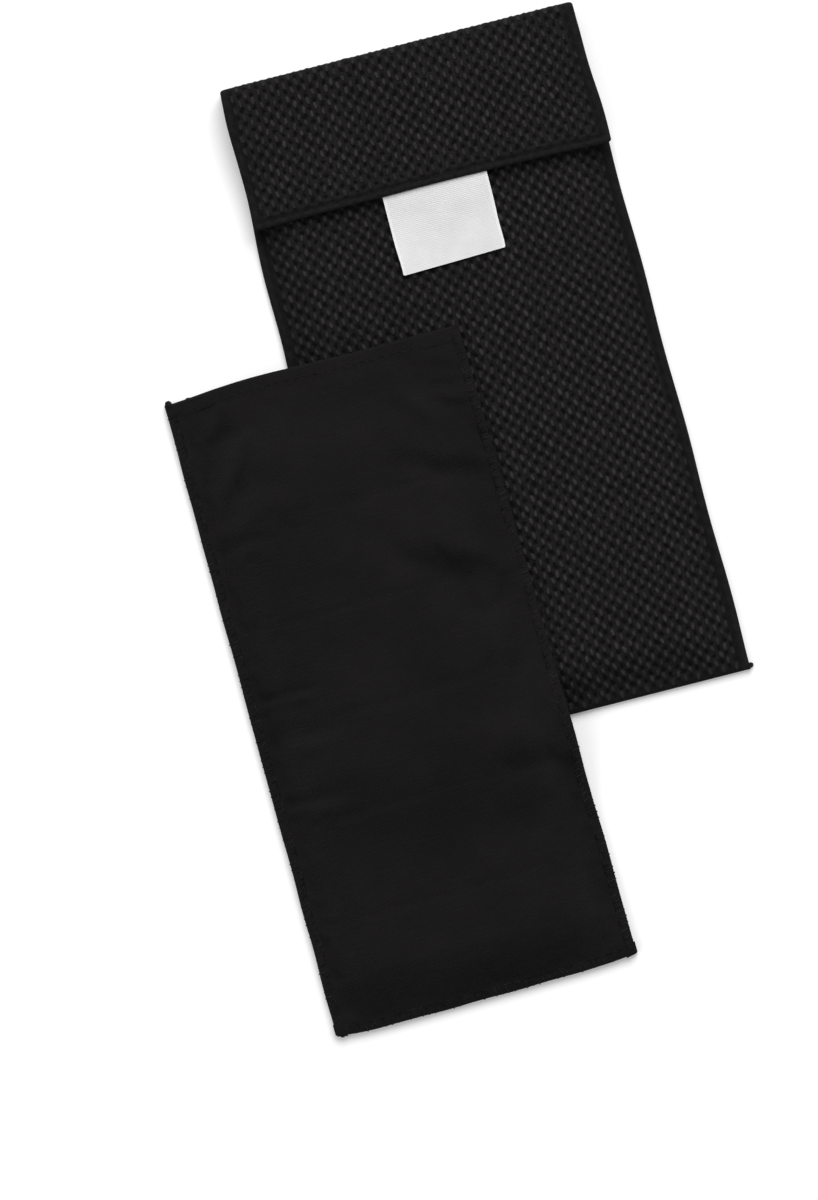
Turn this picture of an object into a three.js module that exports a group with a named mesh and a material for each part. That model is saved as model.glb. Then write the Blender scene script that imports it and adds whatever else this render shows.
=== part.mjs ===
// A cooling case for insulin pens, laid out as it is unpacked: a flat cover of open mesh cloth
// with a fold-over flap and a sewn-in tag, and the quilted inner pouch that holds the cooling
// crystals, lying askew over the cover's lower left side and down onto the table.
// Millimetres, +Z up. The cover lies on its back. The origin is the middle of its back face,
// and +Y points from the cover's foot to the fold of its flap.

import * as THREE from 'three';

// Cover
const COVER_LENGTH = 186.7; // foot to fold
const COVER_TOP_WIDTH = 98; // across the fold
const COVER_FOOT_WIDTH = 103.3; // across the foot
const MESH_THICK = 1.0; // one ply of mesh cloth
const COVER_ROOM = 5.0; // free height between front and back
const COVER_SHOULDER = 10; // run in which the front rises from its seams
const SEAM_WIDTH = 3; // rolled side seams and foot
const SEAM_ROUND = 0.7; // rounding of the rolled edges
const MOUTH_DROP = 7; // mouth of the cover below the fold

// Flap
const FLAP_DEPTH = 39.5; // fold to lower edge
const FLAP_FLARE = 0.6; // how far its lower corners stand out past the cover's sides
const HEM_WIDTH = 3; // turned hems of the flap and the mouth
const HEM_THICK = 1.6;
const HINGE_GAP = 0.4; // slack at the two bends of the fold

// Hook and loop closure between flap and front
const STRIP_LENGTH = 60;
const STRIP_WIDTH = 12;
const STRIP_THICK = 0.7;
const STRIP_CORNER = 2;
const STRIP_ABOVE_TAG = 2; // from the tucked end of the tag to the strips

// Tag sewn under the flap's lower hem
const TAG_WIDTH = 29;
const TAG_DROP = 20.4; // part that shows below the flap
const TAG_TUCK = 5; // part sewn under the hem
const TAG_THICK = 0.7;
const TAG_ASIDE = 0.85; // its middle, right of the cover's middle
const TAG_SAG_RUN = 14; // run in which it sinks from the flap to the front

// Inner pouch
const POUCH_LENGTH = 177.8;
const POUCH_TOP_WIDTH = 82.9;
const POUCH_FOOT_WIDTH = 84.8;
const POUCH_ROOM = 4.8; // free height between its two walls
const POUCH_SHOULDER = 12; // run in which the walls part from the sewn edges
const PLY_THICK = 0.45; // one ply of cotton
const POUCH_SEAM = 3; // overlocked edges
const POUCH_HEM = 4; // hem of each wall at the mouth
const MOUTH_BAND = 6.5; // plain band between that hem and the first channel
const EDGE_ROUND = 0.4; // rounding of overlocked edges and hems
const CHANNELS = 6; // sewn channels of crystals in each wall
const BED_THICK = 1.4; // crystals at the crown of a channel

// How the pouch lies
const POUCH_BELOW_TAG = 18; // its mouth below the tag
const POUCH_OVERLAP = 51.3; // its right edge inside the cover's left edge
const POUCH_TURN = 1.3; // degrees to the left of the cover
const DRAPE_RUN = 30; // run in which it comes down beside the cover

const GAP = 0.25; // between pieces of cloth that lie on each other

// Levels and edges that follow from these sizes
const coverHead = COVER_LENGTH / 2;
const coverFoot = -COVER_LENGTH / 2;
const coverTop = MESH_THICK + COVER_ROOM + MESH_THICK;
const seamThick = MESH_THICK + GAP + MESH_THICK;
const mouth = coverHead - MOUTH_DROP;
const flapFoot = coverHead - FLAP_DEPTH;
const flapUnder = coverTop + GAP + STRIP_THICK + GAP + STRIP_THICK + GAP;
const tagFoot = flapFoot - TAG_DROP;

const blend = THREE.MathUtils.smoothstep;
const spread = (from, to, steps) =>
  Array.from({ length: steps + 1 }, (_, i) => THREE.MathUtils.lerp(from, to, i / steps));
const joined = (...runs) => runs.flatMap((run, i) => (i ? run.slice(1) : run));

// Half the cover's width at a height y along it: its sides draw in towards the fold.
const coverHalf = (y) =>
  THREE.MathUtils.mapLinear(y, coverFoot, coverHead, COVER_FOOT_WIDTH, COVER_TOP_WIDTH) / 2;
const flapHalf = (y) => coverHalf(y) + (FLAP_FLARE * (coverHead - y)) / FLAP_DEPTH;

// Finishes
const cloth = (color, roughness) => new THREE.MeshStandardMaterial({ color, roughness, metalness: 0 });
const meshCloth = cloth(0x201e1f, 0.8);
const rolledMesh = cloth(0x181718, 0.85);
const cotton = cloth(0x1a1919, 0.95);
const lining = cloth(0x151414, 0.95);
const thread = cloth(0x121212, 0.7);
const tagSatin = cloth(0xdedede, 0.6);
const nylon = cloth(0x161616, 0.5);
const crystals = cloth(0xd9dcd8, 0.4);

function piece(group, name, geometry, material) {
  const mesh = new THREE.Mesh(geometry, material);
  mesh.name = name;
  group.add(mesh);
  return mesh;
}

// A flat piece cut to an outline, with its edges rounded over. It lies on z = 0.
function cutPiece(shape, thick, edge) {
  const round = Math.min(edge, thick * 0.45);
  const geometry = new THREE.ExtrudeGeometry(shape, {
    depth: thick - 2 * round,
    bevelThickness: round,
    bevelSize: round,
    bevelOffset: -round,
    bevelSegments: 2,
    curveSegments: 4,
  });
  return geometry.translate(0, 0, round);
}

const outline = (...points) => new THREE.Shape(points.map(([x, y]) => new THREE.Vector2(x, y)));

// A closed slab of cloth over a grid of columns u and rows v. place gives a grid point's
// place on the table, and under and over give the heights of the slab's two faces there.
function clothSlab(columns, rows, place, under, over) {
  const points = [];
  for (const height of [under, over]) {
    for (const v of rows) {
      for (const u of columns) {
        const { x, y } = place(u, v);
        points.push(x, y, height(u, v));
      }
    }
  }
  const last = { i: columns.length - 1, j: rows.length - 1 };
  const at = (i, j, face) => (face * rows.length + j) * columns.length + i;
  const triangles = [];
  const quad = (a, b, c, d) => triangles.push(a, b, c, a, c, d);
  for (let j = 0; j < last.j; j++) {
    for (let i = 0; i < last.i; i++) {
      quad(at(i, j, 1), at(i + 1, j, 1), at(i + 1, j + 1, 1), at(i, j + 1, 1));
      quad(at(i, j, 0), at(i, j + 1, 0), at(i + 1, j + 1, 0), at(i + 1, j, 0));
    }
    quad(at(0, j + 1, 0), at(0, j, 0), at(0, j, 1), at(0, j + 1, 1));
    quad(at(last.i, j, 0), at(last.i, j + 1, 0), at(last.i, j + 1, 1), at(last.i, j, 1));
  }
  for (let i = 0; i < last.i; i++) {
    quad(at(i, 0, 0), at(i + 1, 0, 0), at(i + 1, 0, 1), at(i, 0, 1));
    quad(at(i + 1, last.j, 0), at(i, last.j, 0), at(i, last.j, 1), at(i + 1, last.j, 1));
  }
  const geometry = new THREE.BufferGeometry();
  geometry.setAttribute('position', new THREE.Float32BufferAttribute(points, 3));
  geometry.setIndex(triangles);
  geometry.computeVertexNormals();
  return geometry;
}

// Cover: a back panel, a front panel that rises from its seams to leave room inside, rolled
// seams down both sides, the rolled foot, and the hem of the mouth.
function makeCover() {
  const cover = new THREE.Group();
  const inset = SEAM_WIDTH + GAP;
  const panelFoot = coverFoot + inset;
  const panelHalf = (y) => coverHalf(y) - inset;

  // Above the mouth the back panel is as wide as the cover, because no seam runs there.
  const tabFoot = mouth + GAP;
  const back = outline(
    [-panelHalf(panelFoot), panelFoot],
    [panelHalf(panelFoot), panelFoot],
    [panelHalf(tabFoot), tabFoot],
    [coverHalf(tabFoot), tabFoot],
    [coverHalf(coverHead), coverHead],
    [-coverHalf(coverHead), coverHead],
    [-coverHalf(tabFoot), tabFoot],
    [-panelHalf(tabFoot), tabFoot],
  );
  piece(cover, 'cover_back_panel', cutPiece(back, MESH_THICK, MESH_THICK / 4), meshCloth);

  for (const [side, sign] of [['left', -1], ['right', 1]]) {
    const edges = [
      [sign * coverHalf(coverFoot), coverFoot],
      [sign * coverHalf(mouth), mouth],
      [sign * (coverHalf(mouth) - SEAM_WIDTH), mouth],
      [sign * (coverHalf(coverFoot) - SEAM_WIDTH), coverFoot],
    ];
    piece(cover, `cover_${side}_seam`, cutPiece(outline(...edges), seamThick, SEAM_ROUND), rolledMesh);
  }
  const footHead = coverFoot + SEAM_WIDTH;
  const foot = outline(
    [-panelHalf(coverFoot), coverFoot],
    [panelHalf(coverFoot), coverFoot],
    [panelHalf(footHead), footHead],
    [-panelHalf(footHead), footHead],
  );
  piece(cover, 'cover_bottom_fold', cutPiece(foot, seamThick, SEAM_ROUND), rolledMesh);

  // The front panel lies on the back panel along its seams and stands COVER_ROOM clear of it
  // in the middle and all the way to the mouth. u is the share of the half width.
  const onCover = (u, y) => new THREE.Vector2(u * panelHalf(y), y);
  const opened = (u, y) =>
    blend((1 - Math.abs(u)) * panelHalf(y), 0, COVER_SHOULDER) * blend(y - panelFoot, 0, COVER_SHOULDER);
  const frontUnder = (u, y) => MESH_THICK + GAP + (COVER_ROOM - GAP) * opened(u, y);
  const frontOver = (u, y) => frontUnder(u, y) + MESH_THICK;
  const level = 1 - COVER_SHOULDER / panelHalf(mouth);
  const columns = joined(spread(-1, -level, 4), spread(-level, level, 2), spread(level, 1, 4));
  const hemFoot = mouth - HEM_WIDTH;
  const panelHead = hemFoot - GAP;
  const shoulderHead = panelFoot + COVER_SHOULDER;
  const rows = joined(spread(panelFoot, shoulderHead, 4), spread(shoulderHead, panelHead, 3));
  piece(cover, 'cover_front_panel', clothSlab(columns, rows, onCover, frontUnder, frontOver), meshCloth);

  const lip = (y) => (y === mouth ? SEAM_ROUND : 0);
  const hemUnder = (u, y) => frontUnder(u, y) + lip(y) / 2;
  const hemOver = (u, y) => frontUnder(u, y) + HEM_THICK - lip(y) / 2;
  const hemRows = [hemFoot, mouth - SEAM_ROUND, mouth];
  piece(cover, 'cover_mouth_hem', clothSlab(columns, hemRows, onCover, hemUnder, hemOver), rolledMesh);

  const loops = piece(cover, 'closure_loop_strip', closureStrip(), nylon);
  loops.position.set(0, stripMiddle, coverTop + GAP);
  return cover;
}

const stripMiddle = flapFoot + TAG_TUCK + STRIP_ABOVE_TAG + STRIP_WIDTH / 2;

function closureStrip() {
  const x = STRIP_LENGTH / 2 - STRIP_CORNER;
  const y = STRIP_WIDTH / 2 - STRIP_CORNER;
  const strip = new THREE.Shape();
  strip.absarc(x, y, STRIP_CORNER, 0, Math.PI / 2);
  strip.absarc(-x, y, STRIP_CORNER, Math.PI / 2, Math.PI);
  strip.absarc(-x, -y, STRIP_CORNER, Math.PI, 1.5 * Math.PI);
  strip.absarc(x, -y, STRIP_CORNER, 1.5 * Math.PI, 2 * Math.PI);
  return cutPiece(strip, STRIP_THICK, STRIP_THICK / 4);
}

// Flap: the upright fold at the cover's top edge, the flap that lies over the front, its
// turned hem, the hook strip under it and the tag.
function makeFlap() {
  const flap = new THREE.Group();

  const foldFoot = MESH_THICK + HINGE_GAP;
  const foldHead = flapUnder - HINGE_GAP;
  const bend = MESH_THICK / 2;
  const middle = coverHead - bend;
  const section = new THREE.Shape();
  section.absarc(middle, foldHead - bend, bend, 0, Math.PI);
  section.absarc(middle, foldFoot + bend, bend, Math.PI, 2 * Math.PI);
  const fold = new THREE.ExtrudeGeometry(section, {
    depth: COVER_TOP_WIDTH,
    bevelEnabled: false,
    curveSegments: 8,
  });
  fold.translate(0, 0, -COVER_TOP_WIDTH / 2);
  const acrossY = new THREE.Vector3(0, 1, 0);
  const upZ = new THREE.Vector3(0, 0, 1);
  const alongX = new THREE.Vector3(1, 0, 0);
  fold.applyMatrix4(new THREE.Matrix4().makeBasis(acrossY, upZ, alongX));
  piece(flap, 'flap_fold', fold, meshCloth);

  const panelFoot = flapFoot + HEM_WIDTH + GAP;
  const panelHalf = (y) => flapHalf(y) - HEM_WIDTH - GAP;
  const panel = outline(
    [-panelHalf(panelFoot), panelFoot],
    [panelHalf(panelFoot), panelFoot],
    [panelHalf(coverHead), coverHead],
    [-panelHalf(coverHead), coverHead],
  );
  piece(flap, 'flap_panel', cutPiece(panel, MESH_THICK, MESH_THICK / 4), meshCloth).position.z = flapUnder;

  const hemTop = flapFoot + HEM_WIDTH;
  const hem = outline(
    [-flapHalf(flapFoot), flapFoot],
    [flapHalf(flapFoot), flapFoot],
    [flapHalf(coverHead), coverHead],
    [flapHalf(coverHead) - HEM_WIDTH, coverHead],
    [flapHalf(hemTop) - HEM_WIDTH, hemTop],
    [-flapHalf(hemTop) + HEM_WIDTH, hemTop],
    [-flapHalf(coverHead) + HEM_WIDTH, coverHead],
    [-flapHalf(coverHead), coverHead],
  );
  piece(flap, 'flap_hem', cutPiece(hem, HEM_THICK, SEAM_ROUND), rolledMesh).position.z = flapUnder;

  const hooks = piece(flap, 'closure_hook_strip', closureStrip(), nylon);
  hooks.position.set(0, stripMiddle, flapUnder - GAP - STRIP_THICK);

  // The tag leaves the hem level with it and sinks to lie on the front.
  const tucked = flapUnder - GAP - TAG_THICK;
  const lying = coverTop + GAP;
  const onTag = (u, y) => new THREE.Vector2(TAG_ASIDE + u, y);
  const tagUnder = (u, y) => THREE.MathUtils.lerp(tucked, lying, blend(flapFoot - y, 0, TAG_SAG_RUN));
  const tagOver = (u, y) => tagUnder(u, y) + TAG_THICK;
  const sagFoot = flapFoot - TAG_SAG_RUN;
  const tagRows = [tagFoot, ...spread(sagFoot, flapFoot, 5), flapFoot + TAG_TUCK];
  const tagColumns = spread(-TAG_WIDTH / 2, TAG_WIDTH / 2, 1);
  piece(flap, 'label_tag', clothSlab(tagColumns, tagRows, onTag, tagUnder, tagOver), tagSatin);
  return flap;
}

// Pouch: two quilted walls sewn together along three edges. Each wall is an outer ply and a
// lining with beds of crystals between them, one in each sewn channel. u runs across the pouch
// and v along it, both from its middle. The back wall is pressed flat where the pouch lies.
function makePouch() {
  const pouch = new THREE.Group();
  const half = POUCH_FOOT_WIDTH / 2;
  const head = POUCH_LENGTH / 2;
  const plyHalf = half - POUCH_SEAM - GAP;
  const plyFoot = -head + POUCH_SEAM + GAP;
  const plyHead = head - POUCH_HEM - GAP;
  const channelHead = plyHead - MOUTH_BAND;
  const pitch = (channelHead - plyFoot) / CHANNELS;

  const rest = new THREE.Vector2(POUCH_OVERLAP - coverHalf(0) - half, tagFoot - POUCH_BELOW_TAG - head);
  const turn = THREE.MathUtils.degToRad(POUCH_TURN);
  const onTable = (u, v) => {
    const width = THREE.MathUtils.mapLinear(v, -head, head, POUCH_FOOT_WIDTH, POUCH_TOP_WIDTH);
    const point = new THREE.Vector2((u * width) / POUCH_FOOT_WIDTH, v);
    return point.rotateAround(new THREE.Vector2(), turn).add(rest);
  };

  // Height of the pouch's underside: on the cover's front, down its edges, or on the table.
  const drape = (u, v) => {
    const { x, y } = onTable(u, v);
    const besideCover = blend(x + coverHalf(y), -DRAPE_RUN, SEAM_WIDTH);
    const belowCover = blend(y - coverFoot, -DRAPE_RUN, SEAM_WIDTH);
    return (coverTop + GAP) * besideCover * belowCover;
  };

  // 0 along the sewn edges, 1 where the walls stand apart
  const opened = (u, v) =>
    blend(plyHalf - Math.abs(u), 0, POUCH_SHOULDER) * blend(v - plyFoot, 0, POUCH_SHOULDER);
  // 0 where the plies of a wall lie together, 1 where crystals fill it
  const filled = (u, v) => opened(u, v) * blend(channelHead - v, 0, POUCH_SHOULDER);
  const crown = (v) => {
    const place = (v - plyFoot) / pitch;
    const fromMiddle = 2 * (place - Math.floor(place)) - 1;
    return Math.sqrt(Math.max(0, 1 - fromMiddle * fromMiddle));
  };
  const bed = (u, v) => BED_THICK * crown(v) * filled(u, v);

  // Undersides of the layers, from the table up. The room inside is POUCH_ROOM high between
  // filled walls, and a little higher at the mouth, where the back wall holds no crystals.
  const backCloth = drape;
  const backBed = (u, v) => backCloth(u, v) + PLY_THICK + GAP;
  const backLining = (u, v) => backBed(u, v) + BED_THICK * filled(u, v) + GAP;
  const roomFloor = (u, v) => backLining(u, v) + PLY_THICK;
  const sewnFlat = PLY_THICK + GAP + GAP + PLY_THICK + GAP;
  const frontLining = (u, v) => drape(u, v) + sewnFlat + (BED_THICK + POUCH_ROOM - GAP) * opened(u, v);
  const frontBed = (u, v) => frontLining(u, v) + PLY_THICK + GAP;
  const frontCloth = (u, v) => frontBed(u, v) + bed(u, v) + GAP;
  const frontTop = (u, v) => frontCloth(u, v) + PLY_THICK;

  const shoulder = plyHalf - POUCH_SHOULDER;
  const columns = joined(
    spread(-plyHalf, -shoulder, 3),
    spread(-shoulder, shoulder, 6),
    spread(shoulder, plyHalf, 3),
  );
  const bedColumns = columns.slice(2, -2);
  const channelShares = [0, 0.16, 0.5, 0.84, 1];
  const channelRows = (k) => channelShares.map((share) => plyFoot + (k + share) * pitch);
  const channels = Array.from({ length: CHANNELS }, (_, k) => channelRows(k));
  const rows = joined(...channels, [channelHead, plyHead]);

  const ply = (name, under, material) => {
    const over = (u, v) => under(u, v) + PLY_THICK;
    piece(pouch, name, clothSlab(columns, rows, onTable, under, over), material);
  };
  ply('pouch_back_cloth', backCloth, cotton);
  ply('pouch_back_lining', backLining, lining);
  ply('pouch_front_lining', frontLining, lining);
  ply('pouch_front_cloth', frontCloth, cotton);

  channels.forEach((channel, k) => {
    const bedRows = channel.slice(1, -1);
    for (const [wall, under] of [['back', backBed], ['front', frontBed]]) {
      const over = (u, v) => under(u, v) + bed(u, v);
      const geometry = clothSlab(bedColumns, bedRows, onTable, under, over);
      piece(pouch, `${wall}_crystal_bed_${k + 1}`, geometry, crystals);
    }
  });

  // Overlocked edges, rounded on their outer side, take in all four plies.
  const seamRound = (u, v) => (Math.abs(u) === half || v === -head ? EDGE_ROUND : 0);
  const seamUnder = (u, v) => drape(u, v) + seamRound(u, v);
  const seamOver = (u, v) => frontTop(u, v) - seamRound(u, v);
  const seamRows = joined([-head, plyFoot], rows, [plyHead, head]);
  for (const [side, sign] of [['left', -1], ['right', 1]]) {
    const across = [half - POUCH_SEAM, half - EDGE_ROUND, half].map((u) => sign * u);
    across.sort((a, b) => a - b);
    const geometry = clothSlab(across, seamRows, onTable, seamUnder, seamOver);
    piece(pouch, `pouch_${side}_seam`, geometry, thread);
  }
  const footRows = [-head, -head + EDGE_ROUND, -head + POUCH_SEAM];
  piece(pouch, 'pouch_bottom_seam', clothSlab(columns, footRows, onTable, seamUnder, seamOver), thread);

  // Hems close the two walls at the mouth.
  const hemRound = (v) => (v === head ? EDGE_ROUND : 0);
  const hemRows = [head - POUCH_HEM, head - EDGE_ROUND, head];
  for (const [wall, under, over] of [['back', backCloth, roomFloor], ['front', frontLining, frontTop]]) {
    const hemUnder = (u, v) => under(u, v) + hemRound(v);
    const hemOver = (u, v) => over(u, v) - hemRound(v);
    piece(pouch, `pouch_${wall}_mouth_hem`, clothSlab(columns, hemRows, onTable, hemUnder, hemOver), cotton);
  }
  return pouch;
}

const coolingCase = new THREE.Group();
coolingCase.add(makeCover(), makeFlap(), makePouch());

export default coolingCase;
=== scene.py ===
# %% [markdown]
# # A cooling case for insulin pens
#
# The case is two sewn things. The cover is an envelope of open mesh cloth with a fold-over flap
# and a white tag. The pouch is two walls of thin black cotton, quilted into channels that hold
# cooling crystals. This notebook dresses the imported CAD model. Every cloth here is a real sheet
# with a thickness, and it lies where its CAD solid lies.

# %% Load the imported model
import math

import bpy
import numpy as np
from mathutils import Matrix, Vector


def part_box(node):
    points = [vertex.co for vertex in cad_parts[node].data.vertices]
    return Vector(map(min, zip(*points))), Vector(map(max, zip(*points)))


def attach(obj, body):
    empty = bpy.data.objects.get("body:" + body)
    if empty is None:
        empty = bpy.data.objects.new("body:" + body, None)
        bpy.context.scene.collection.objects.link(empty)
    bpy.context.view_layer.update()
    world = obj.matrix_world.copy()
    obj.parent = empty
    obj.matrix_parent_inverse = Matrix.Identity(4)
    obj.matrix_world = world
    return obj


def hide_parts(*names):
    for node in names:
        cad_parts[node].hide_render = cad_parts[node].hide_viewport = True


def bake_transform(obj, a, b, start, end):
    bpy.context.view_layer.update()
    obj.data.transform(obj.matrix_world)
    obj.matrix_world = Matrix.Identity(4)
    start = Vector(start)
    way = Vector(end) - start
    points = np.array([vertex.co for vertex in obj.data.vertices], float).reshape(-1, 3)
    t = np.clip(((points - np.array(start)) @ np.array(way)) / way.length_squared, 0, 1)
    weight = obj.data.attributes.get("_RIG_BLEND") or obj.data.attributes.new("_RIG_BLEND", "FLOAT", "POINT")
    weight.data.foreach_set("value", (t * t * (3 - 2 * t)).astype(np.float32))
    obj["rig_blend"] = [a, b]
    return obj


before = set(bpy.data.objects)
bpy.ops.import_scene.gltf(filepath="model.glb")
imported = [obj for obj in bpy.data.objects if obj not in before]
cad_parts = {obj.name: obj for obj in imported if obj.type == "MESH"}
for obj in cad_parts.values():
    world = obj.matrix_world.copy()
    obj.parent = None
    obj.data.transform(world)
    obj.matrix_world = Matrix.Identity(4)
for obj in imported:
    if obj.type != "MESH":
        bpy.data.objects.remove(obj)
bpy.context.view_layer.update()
MM = 0.001

# %% [markdown]
# ## Sizes from the model
#
# A dressed model goes wrong when its cloth is placed by eye. Here the edges and levels are read
# from the boxes of the CAD nodes, so the cloth follows if the part is packed at another size.

# %% Read the cover's edges and levels


def low(node):
    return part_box(node)[0]


def high(node):
    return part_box(node)[1]


cover_foot = low("cover_bottom_fold").y
cover_head = high("cover_back_panel").y
mouth = high("cover_mouth_hem").y
foot_half = high("cover_right_seam").x
head_half = high("flap_fold").x
seam_top = high("cover_left_seam").z
seam_line = seam_top / 2
front_top = high("cover_front_panel").z
flap_foot = low("flap_hem").y
flap_under = low("flap_panel").z
flap_top = high("flap_panel").z
flap_depth = cover_head - flap_foot


def cover_half(y):
    """Half the cover's width, which draws in from the foot to the fold."""
    return foot_half + (head_half - foot_half) * (y - cover_foot) / (cover_head - cover_foot)


flap_flare = high("flap_hem").x - cover_half(flap_foot)
print("cover", round((cover_head - cover_foot) / MM, 1), "mm long, flap", round(flap_depth / MM, 1))

# %% [markdown]
# ## Nodes written as Python
#
# Node trees are easier to read as sums than as lists of links. `Wire` holds one output socket
# and adds a Math node for each operator, and `Tree.add` adds any other node: its type, its
# settings, and then the values or wires of its sockets. The same two classes serve the
# materials and the geometry trees.

# %% A wire and a tree


class Wire:
    """An output socket that can be used in a Python sum."""

    def __init__(self, tree, socket):
        self.tree = tree
        self.socket = socket

    def other(self, name):
        """Another output of the same node."""
        return Wire(self.tree, self.socket.node.outputs[name])

    def __add__(self, value):
        return self.tree.maths("ADD", self, value)

    def __radd__(self, value):
        return self.tree.maths("ADD", value, self)

    def __sub__(self, value):
        return self.tree.maths("SUBTRACT", self, value)

    def __rsub__(self, value):
        return self.tree.maths("SUBTRACT", value, self)

    def __mul__(self, value):
        return self.tree.maths("MULTIPLY", self, value)

    def __rmul__(self, value):
        return self.tree.maths("MULTIPLY", value, self)

    def __truediv__(self, value):
        return self.tree.maths("DIVIDE", self, value)

    def __rtruediv__(self, value):
        return self.tree.maths("DIVIDE", value, self)


class Tree:
    """A node tree that is written one node at a time."""

    def __init__(self, data):
        self.data = data

    def add(self, kind, settings=None, inputs=None):
        node = self.data.nodes.new(kind)
        for name, value in (settings or {}).items():
            setattr(node, name, value)
        for key, value in (inputs or {}).items():
            self.feed(find_socket(node.inputs, key), value)
        shown = [socket for socket in node.outputs if socket.enabled]
        return Wire(self, shown[0]) if shown else node

    def feed(self, socket, value):
        if isinstance(value, Wire):
            self.data.links.new(value.socket, socket)
        else:
            socket.default_value = value

    def maths(self, operation, *values):
        return self.add("ShaderNodeMath", {"operation": operation}, dict(enumerate(values)))

    def vector(self, operation, *values):
        return self.add("ShaderNodeVectorMath", {"operation": operation}, dict(enumerate(values)))

    def combine(self, **parts):
        return self.add("ShaderNodeCombineXYZ", {}, parts)

    def separate(self, vector):
        return self.add("ShaderNodeSeparateXYZ", {}, {0: vector})

    def spin(self, **angles):
        """A turn by angles about X, Y and Z."""
        return self.add("FunctionNodeEulerToRotation", {}, {0: self.combine(**angles)})


def find_socket(sockets, key):
    """A socket by its number, or the one in use among those of a name."""
    if isinstance(key, int):
        return sockets[key]
    return next(socket for socket in sockets if socket.name == key and socket.enabled)


# %% [markdown]
# ## Finishes
#
# Black cloth is hard to render: with a plastic-like gloss it turns grey under a white sky. Each
# cloth therefore has a very low specular level, a dark base that varies only a little, and its
# weave as bump. The weave is read from the UV map named `flat`, which holds every point's place
# on the cut cloth in metres, so that threads run along the cloth and keep their scale.

# %% Helpers for materials


def start_finish(name):
    material = bpy.data.materials.new(name)
    material.use_nodes = True
    material.node_tree.nodes.clear()
    return material, Tree(material.node_tree)


def end_finish(tree, inputs):
    shader = tree.add("ShaderNodeBsdfPrincipled", {}, inputs)
    tree.add("ShaderNodeOutputMaterial", {}, {"Surface": shader})


def cut_place(tree):
    """The place on the cut cloth, as two wires in metres."""
    place = tree.separate(tree.add("ShaderNodeUVMap", {"uv_map": "flat"}))
    return place, place.other("Y")


def object_place(tree):
    return tree.add("ShaderNodeTexCoord").other("Object")


def noise(tree, place, scale, detail=3.0, rough=0.55):
    """Noise that keeps close to 0.5, with about scale humps to the metre."""
    inputs = {"Vector": place, "Scale": scale, "Detail": detail, "Roughness": rough}
    return tree.add("ShaderNodeTexNoise", {}, inputs)


def wave(tree, place, pitch):
    """A wave between -1 and 1 that is highest at every whole pitch."""
    return tree.maths("COSINE", place * (2 * math.pi / pitch))


def ramp(tree, value, start, end, low_end=0.0, high_end=1.0):
    inputs = {"Value": value, "From Min": start, "From Max": end, "To Min": low_end, "To Max": high_end}
    return tree.add("ShaderNodeMapRange", {"interpolation_type": "SMOOTHSTEP"}, inputs)


def stretched(tree, noisy, low_end=0.0, high_end=1.0):
    """Noise spread over a whole range."""
    return ramp(tree, noisy, 0.3, 0.7, low_end, high_end)


def mixed(tree, factor, first, second):
    inputs = {"Factor": factor, "A": first, "B": second}
    return tree.add("ShaderNodeMix", {"data_type": "RGBA"}, inputs)


def bumped(tree, height, distance, strength=1.0):
    return tree.add("ShaderNodeBump", {}, {"Strength": strength, "Distance": distance, "Height": height})


def grey(level):
    return (level, level, level, 1.0)


def tinted(level):
    """The faintly warm black of the dyed cloth."""
    return (level * 1.07, level * 0.965, level * 0.99, 1.0)


# %% [markdown]
# The cover's cloth is a spacer mesh: rice-shaped grains of yarn in columns, each column shifted
# by half a grain against the next, over a darker ground with pores between the grains. The
# grains are modelled further down. The ground's material draws the pores near black, as painted
# shade in the mesh's holes; their lattice is warped a little by noise, and they fade where the
# cloth is pressed flat along an edge. Along the edges the ground is darker, partly flattened cloth
# and partly painted shade on the rolled edge, with a painted shade line in the groove of the
# sewn line. The grains carry two attributes: `crest` is 1 on their backs, and their material
# turns it into painted shade on their flanks; `tone` differs from grain to grain, and falls
# towards the pressed edges, partly as painted shade.

# %% Ground of the mesh cloth, and its grains
COLUMN_PITCH = 1.78 * MM
GRAIN_PITCH = 3.8 * MM
GROUND_YARN = 0.46 * MM
PRESSED_UNTIL = 1.5 * MM  # this far from an edge the cloth is pressed flat
UNPRESSED_FROM = 4.5 * MM


def attribute(tree, name):
    return tree.add("ShaderNodeAttribute", {"attribute_name": name}).other("Fac")


mesh_ground, tree = start_finish("mesh_ground")
across, along = cut_place(tree)
where = object_place(tree)
warp = (noise(tree, where, 400, 1.0) - 0.5) * (1.6 * MM)
lattice = wave(tree, across + warp, 2 * COLUMN_PITCH) * wave(tree, along - warp, GRAIN_PITCH)
edge = attribute(tree, "edge")
unpressed_unshaded = ramp(tree, edge, PRESSED_UNTIL, UNPRESSED_FROM)
# The pores are painted near black: painted shade in the mesh's open holes between the grains.
pores = ramp(tree, lattice, 0.05, -1.0) * (unpressed_unshaded * 0.85 + 0.15)
yarn = wave(tree, along + across * 0.5, GROUND_YARN) * wave(tree, across, GROUND_YARN)
fuzz = noise(tree, where, 2600)
blotch = noise(tree, where, 150, 2.0)
bare = mixed(tree, stretched(tree, blotch), tinted(0.0075), tinted(0.0105))
# `sunk` marks the groove of the sewn line, which is painted almost black as a painted shade line.
sunk = ramp(tree, edge, PRESSED_UNTIL, 2.2 * MM) * ramp(tree, edge, 3.3 * MM, 2.6 * MM)
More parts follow.
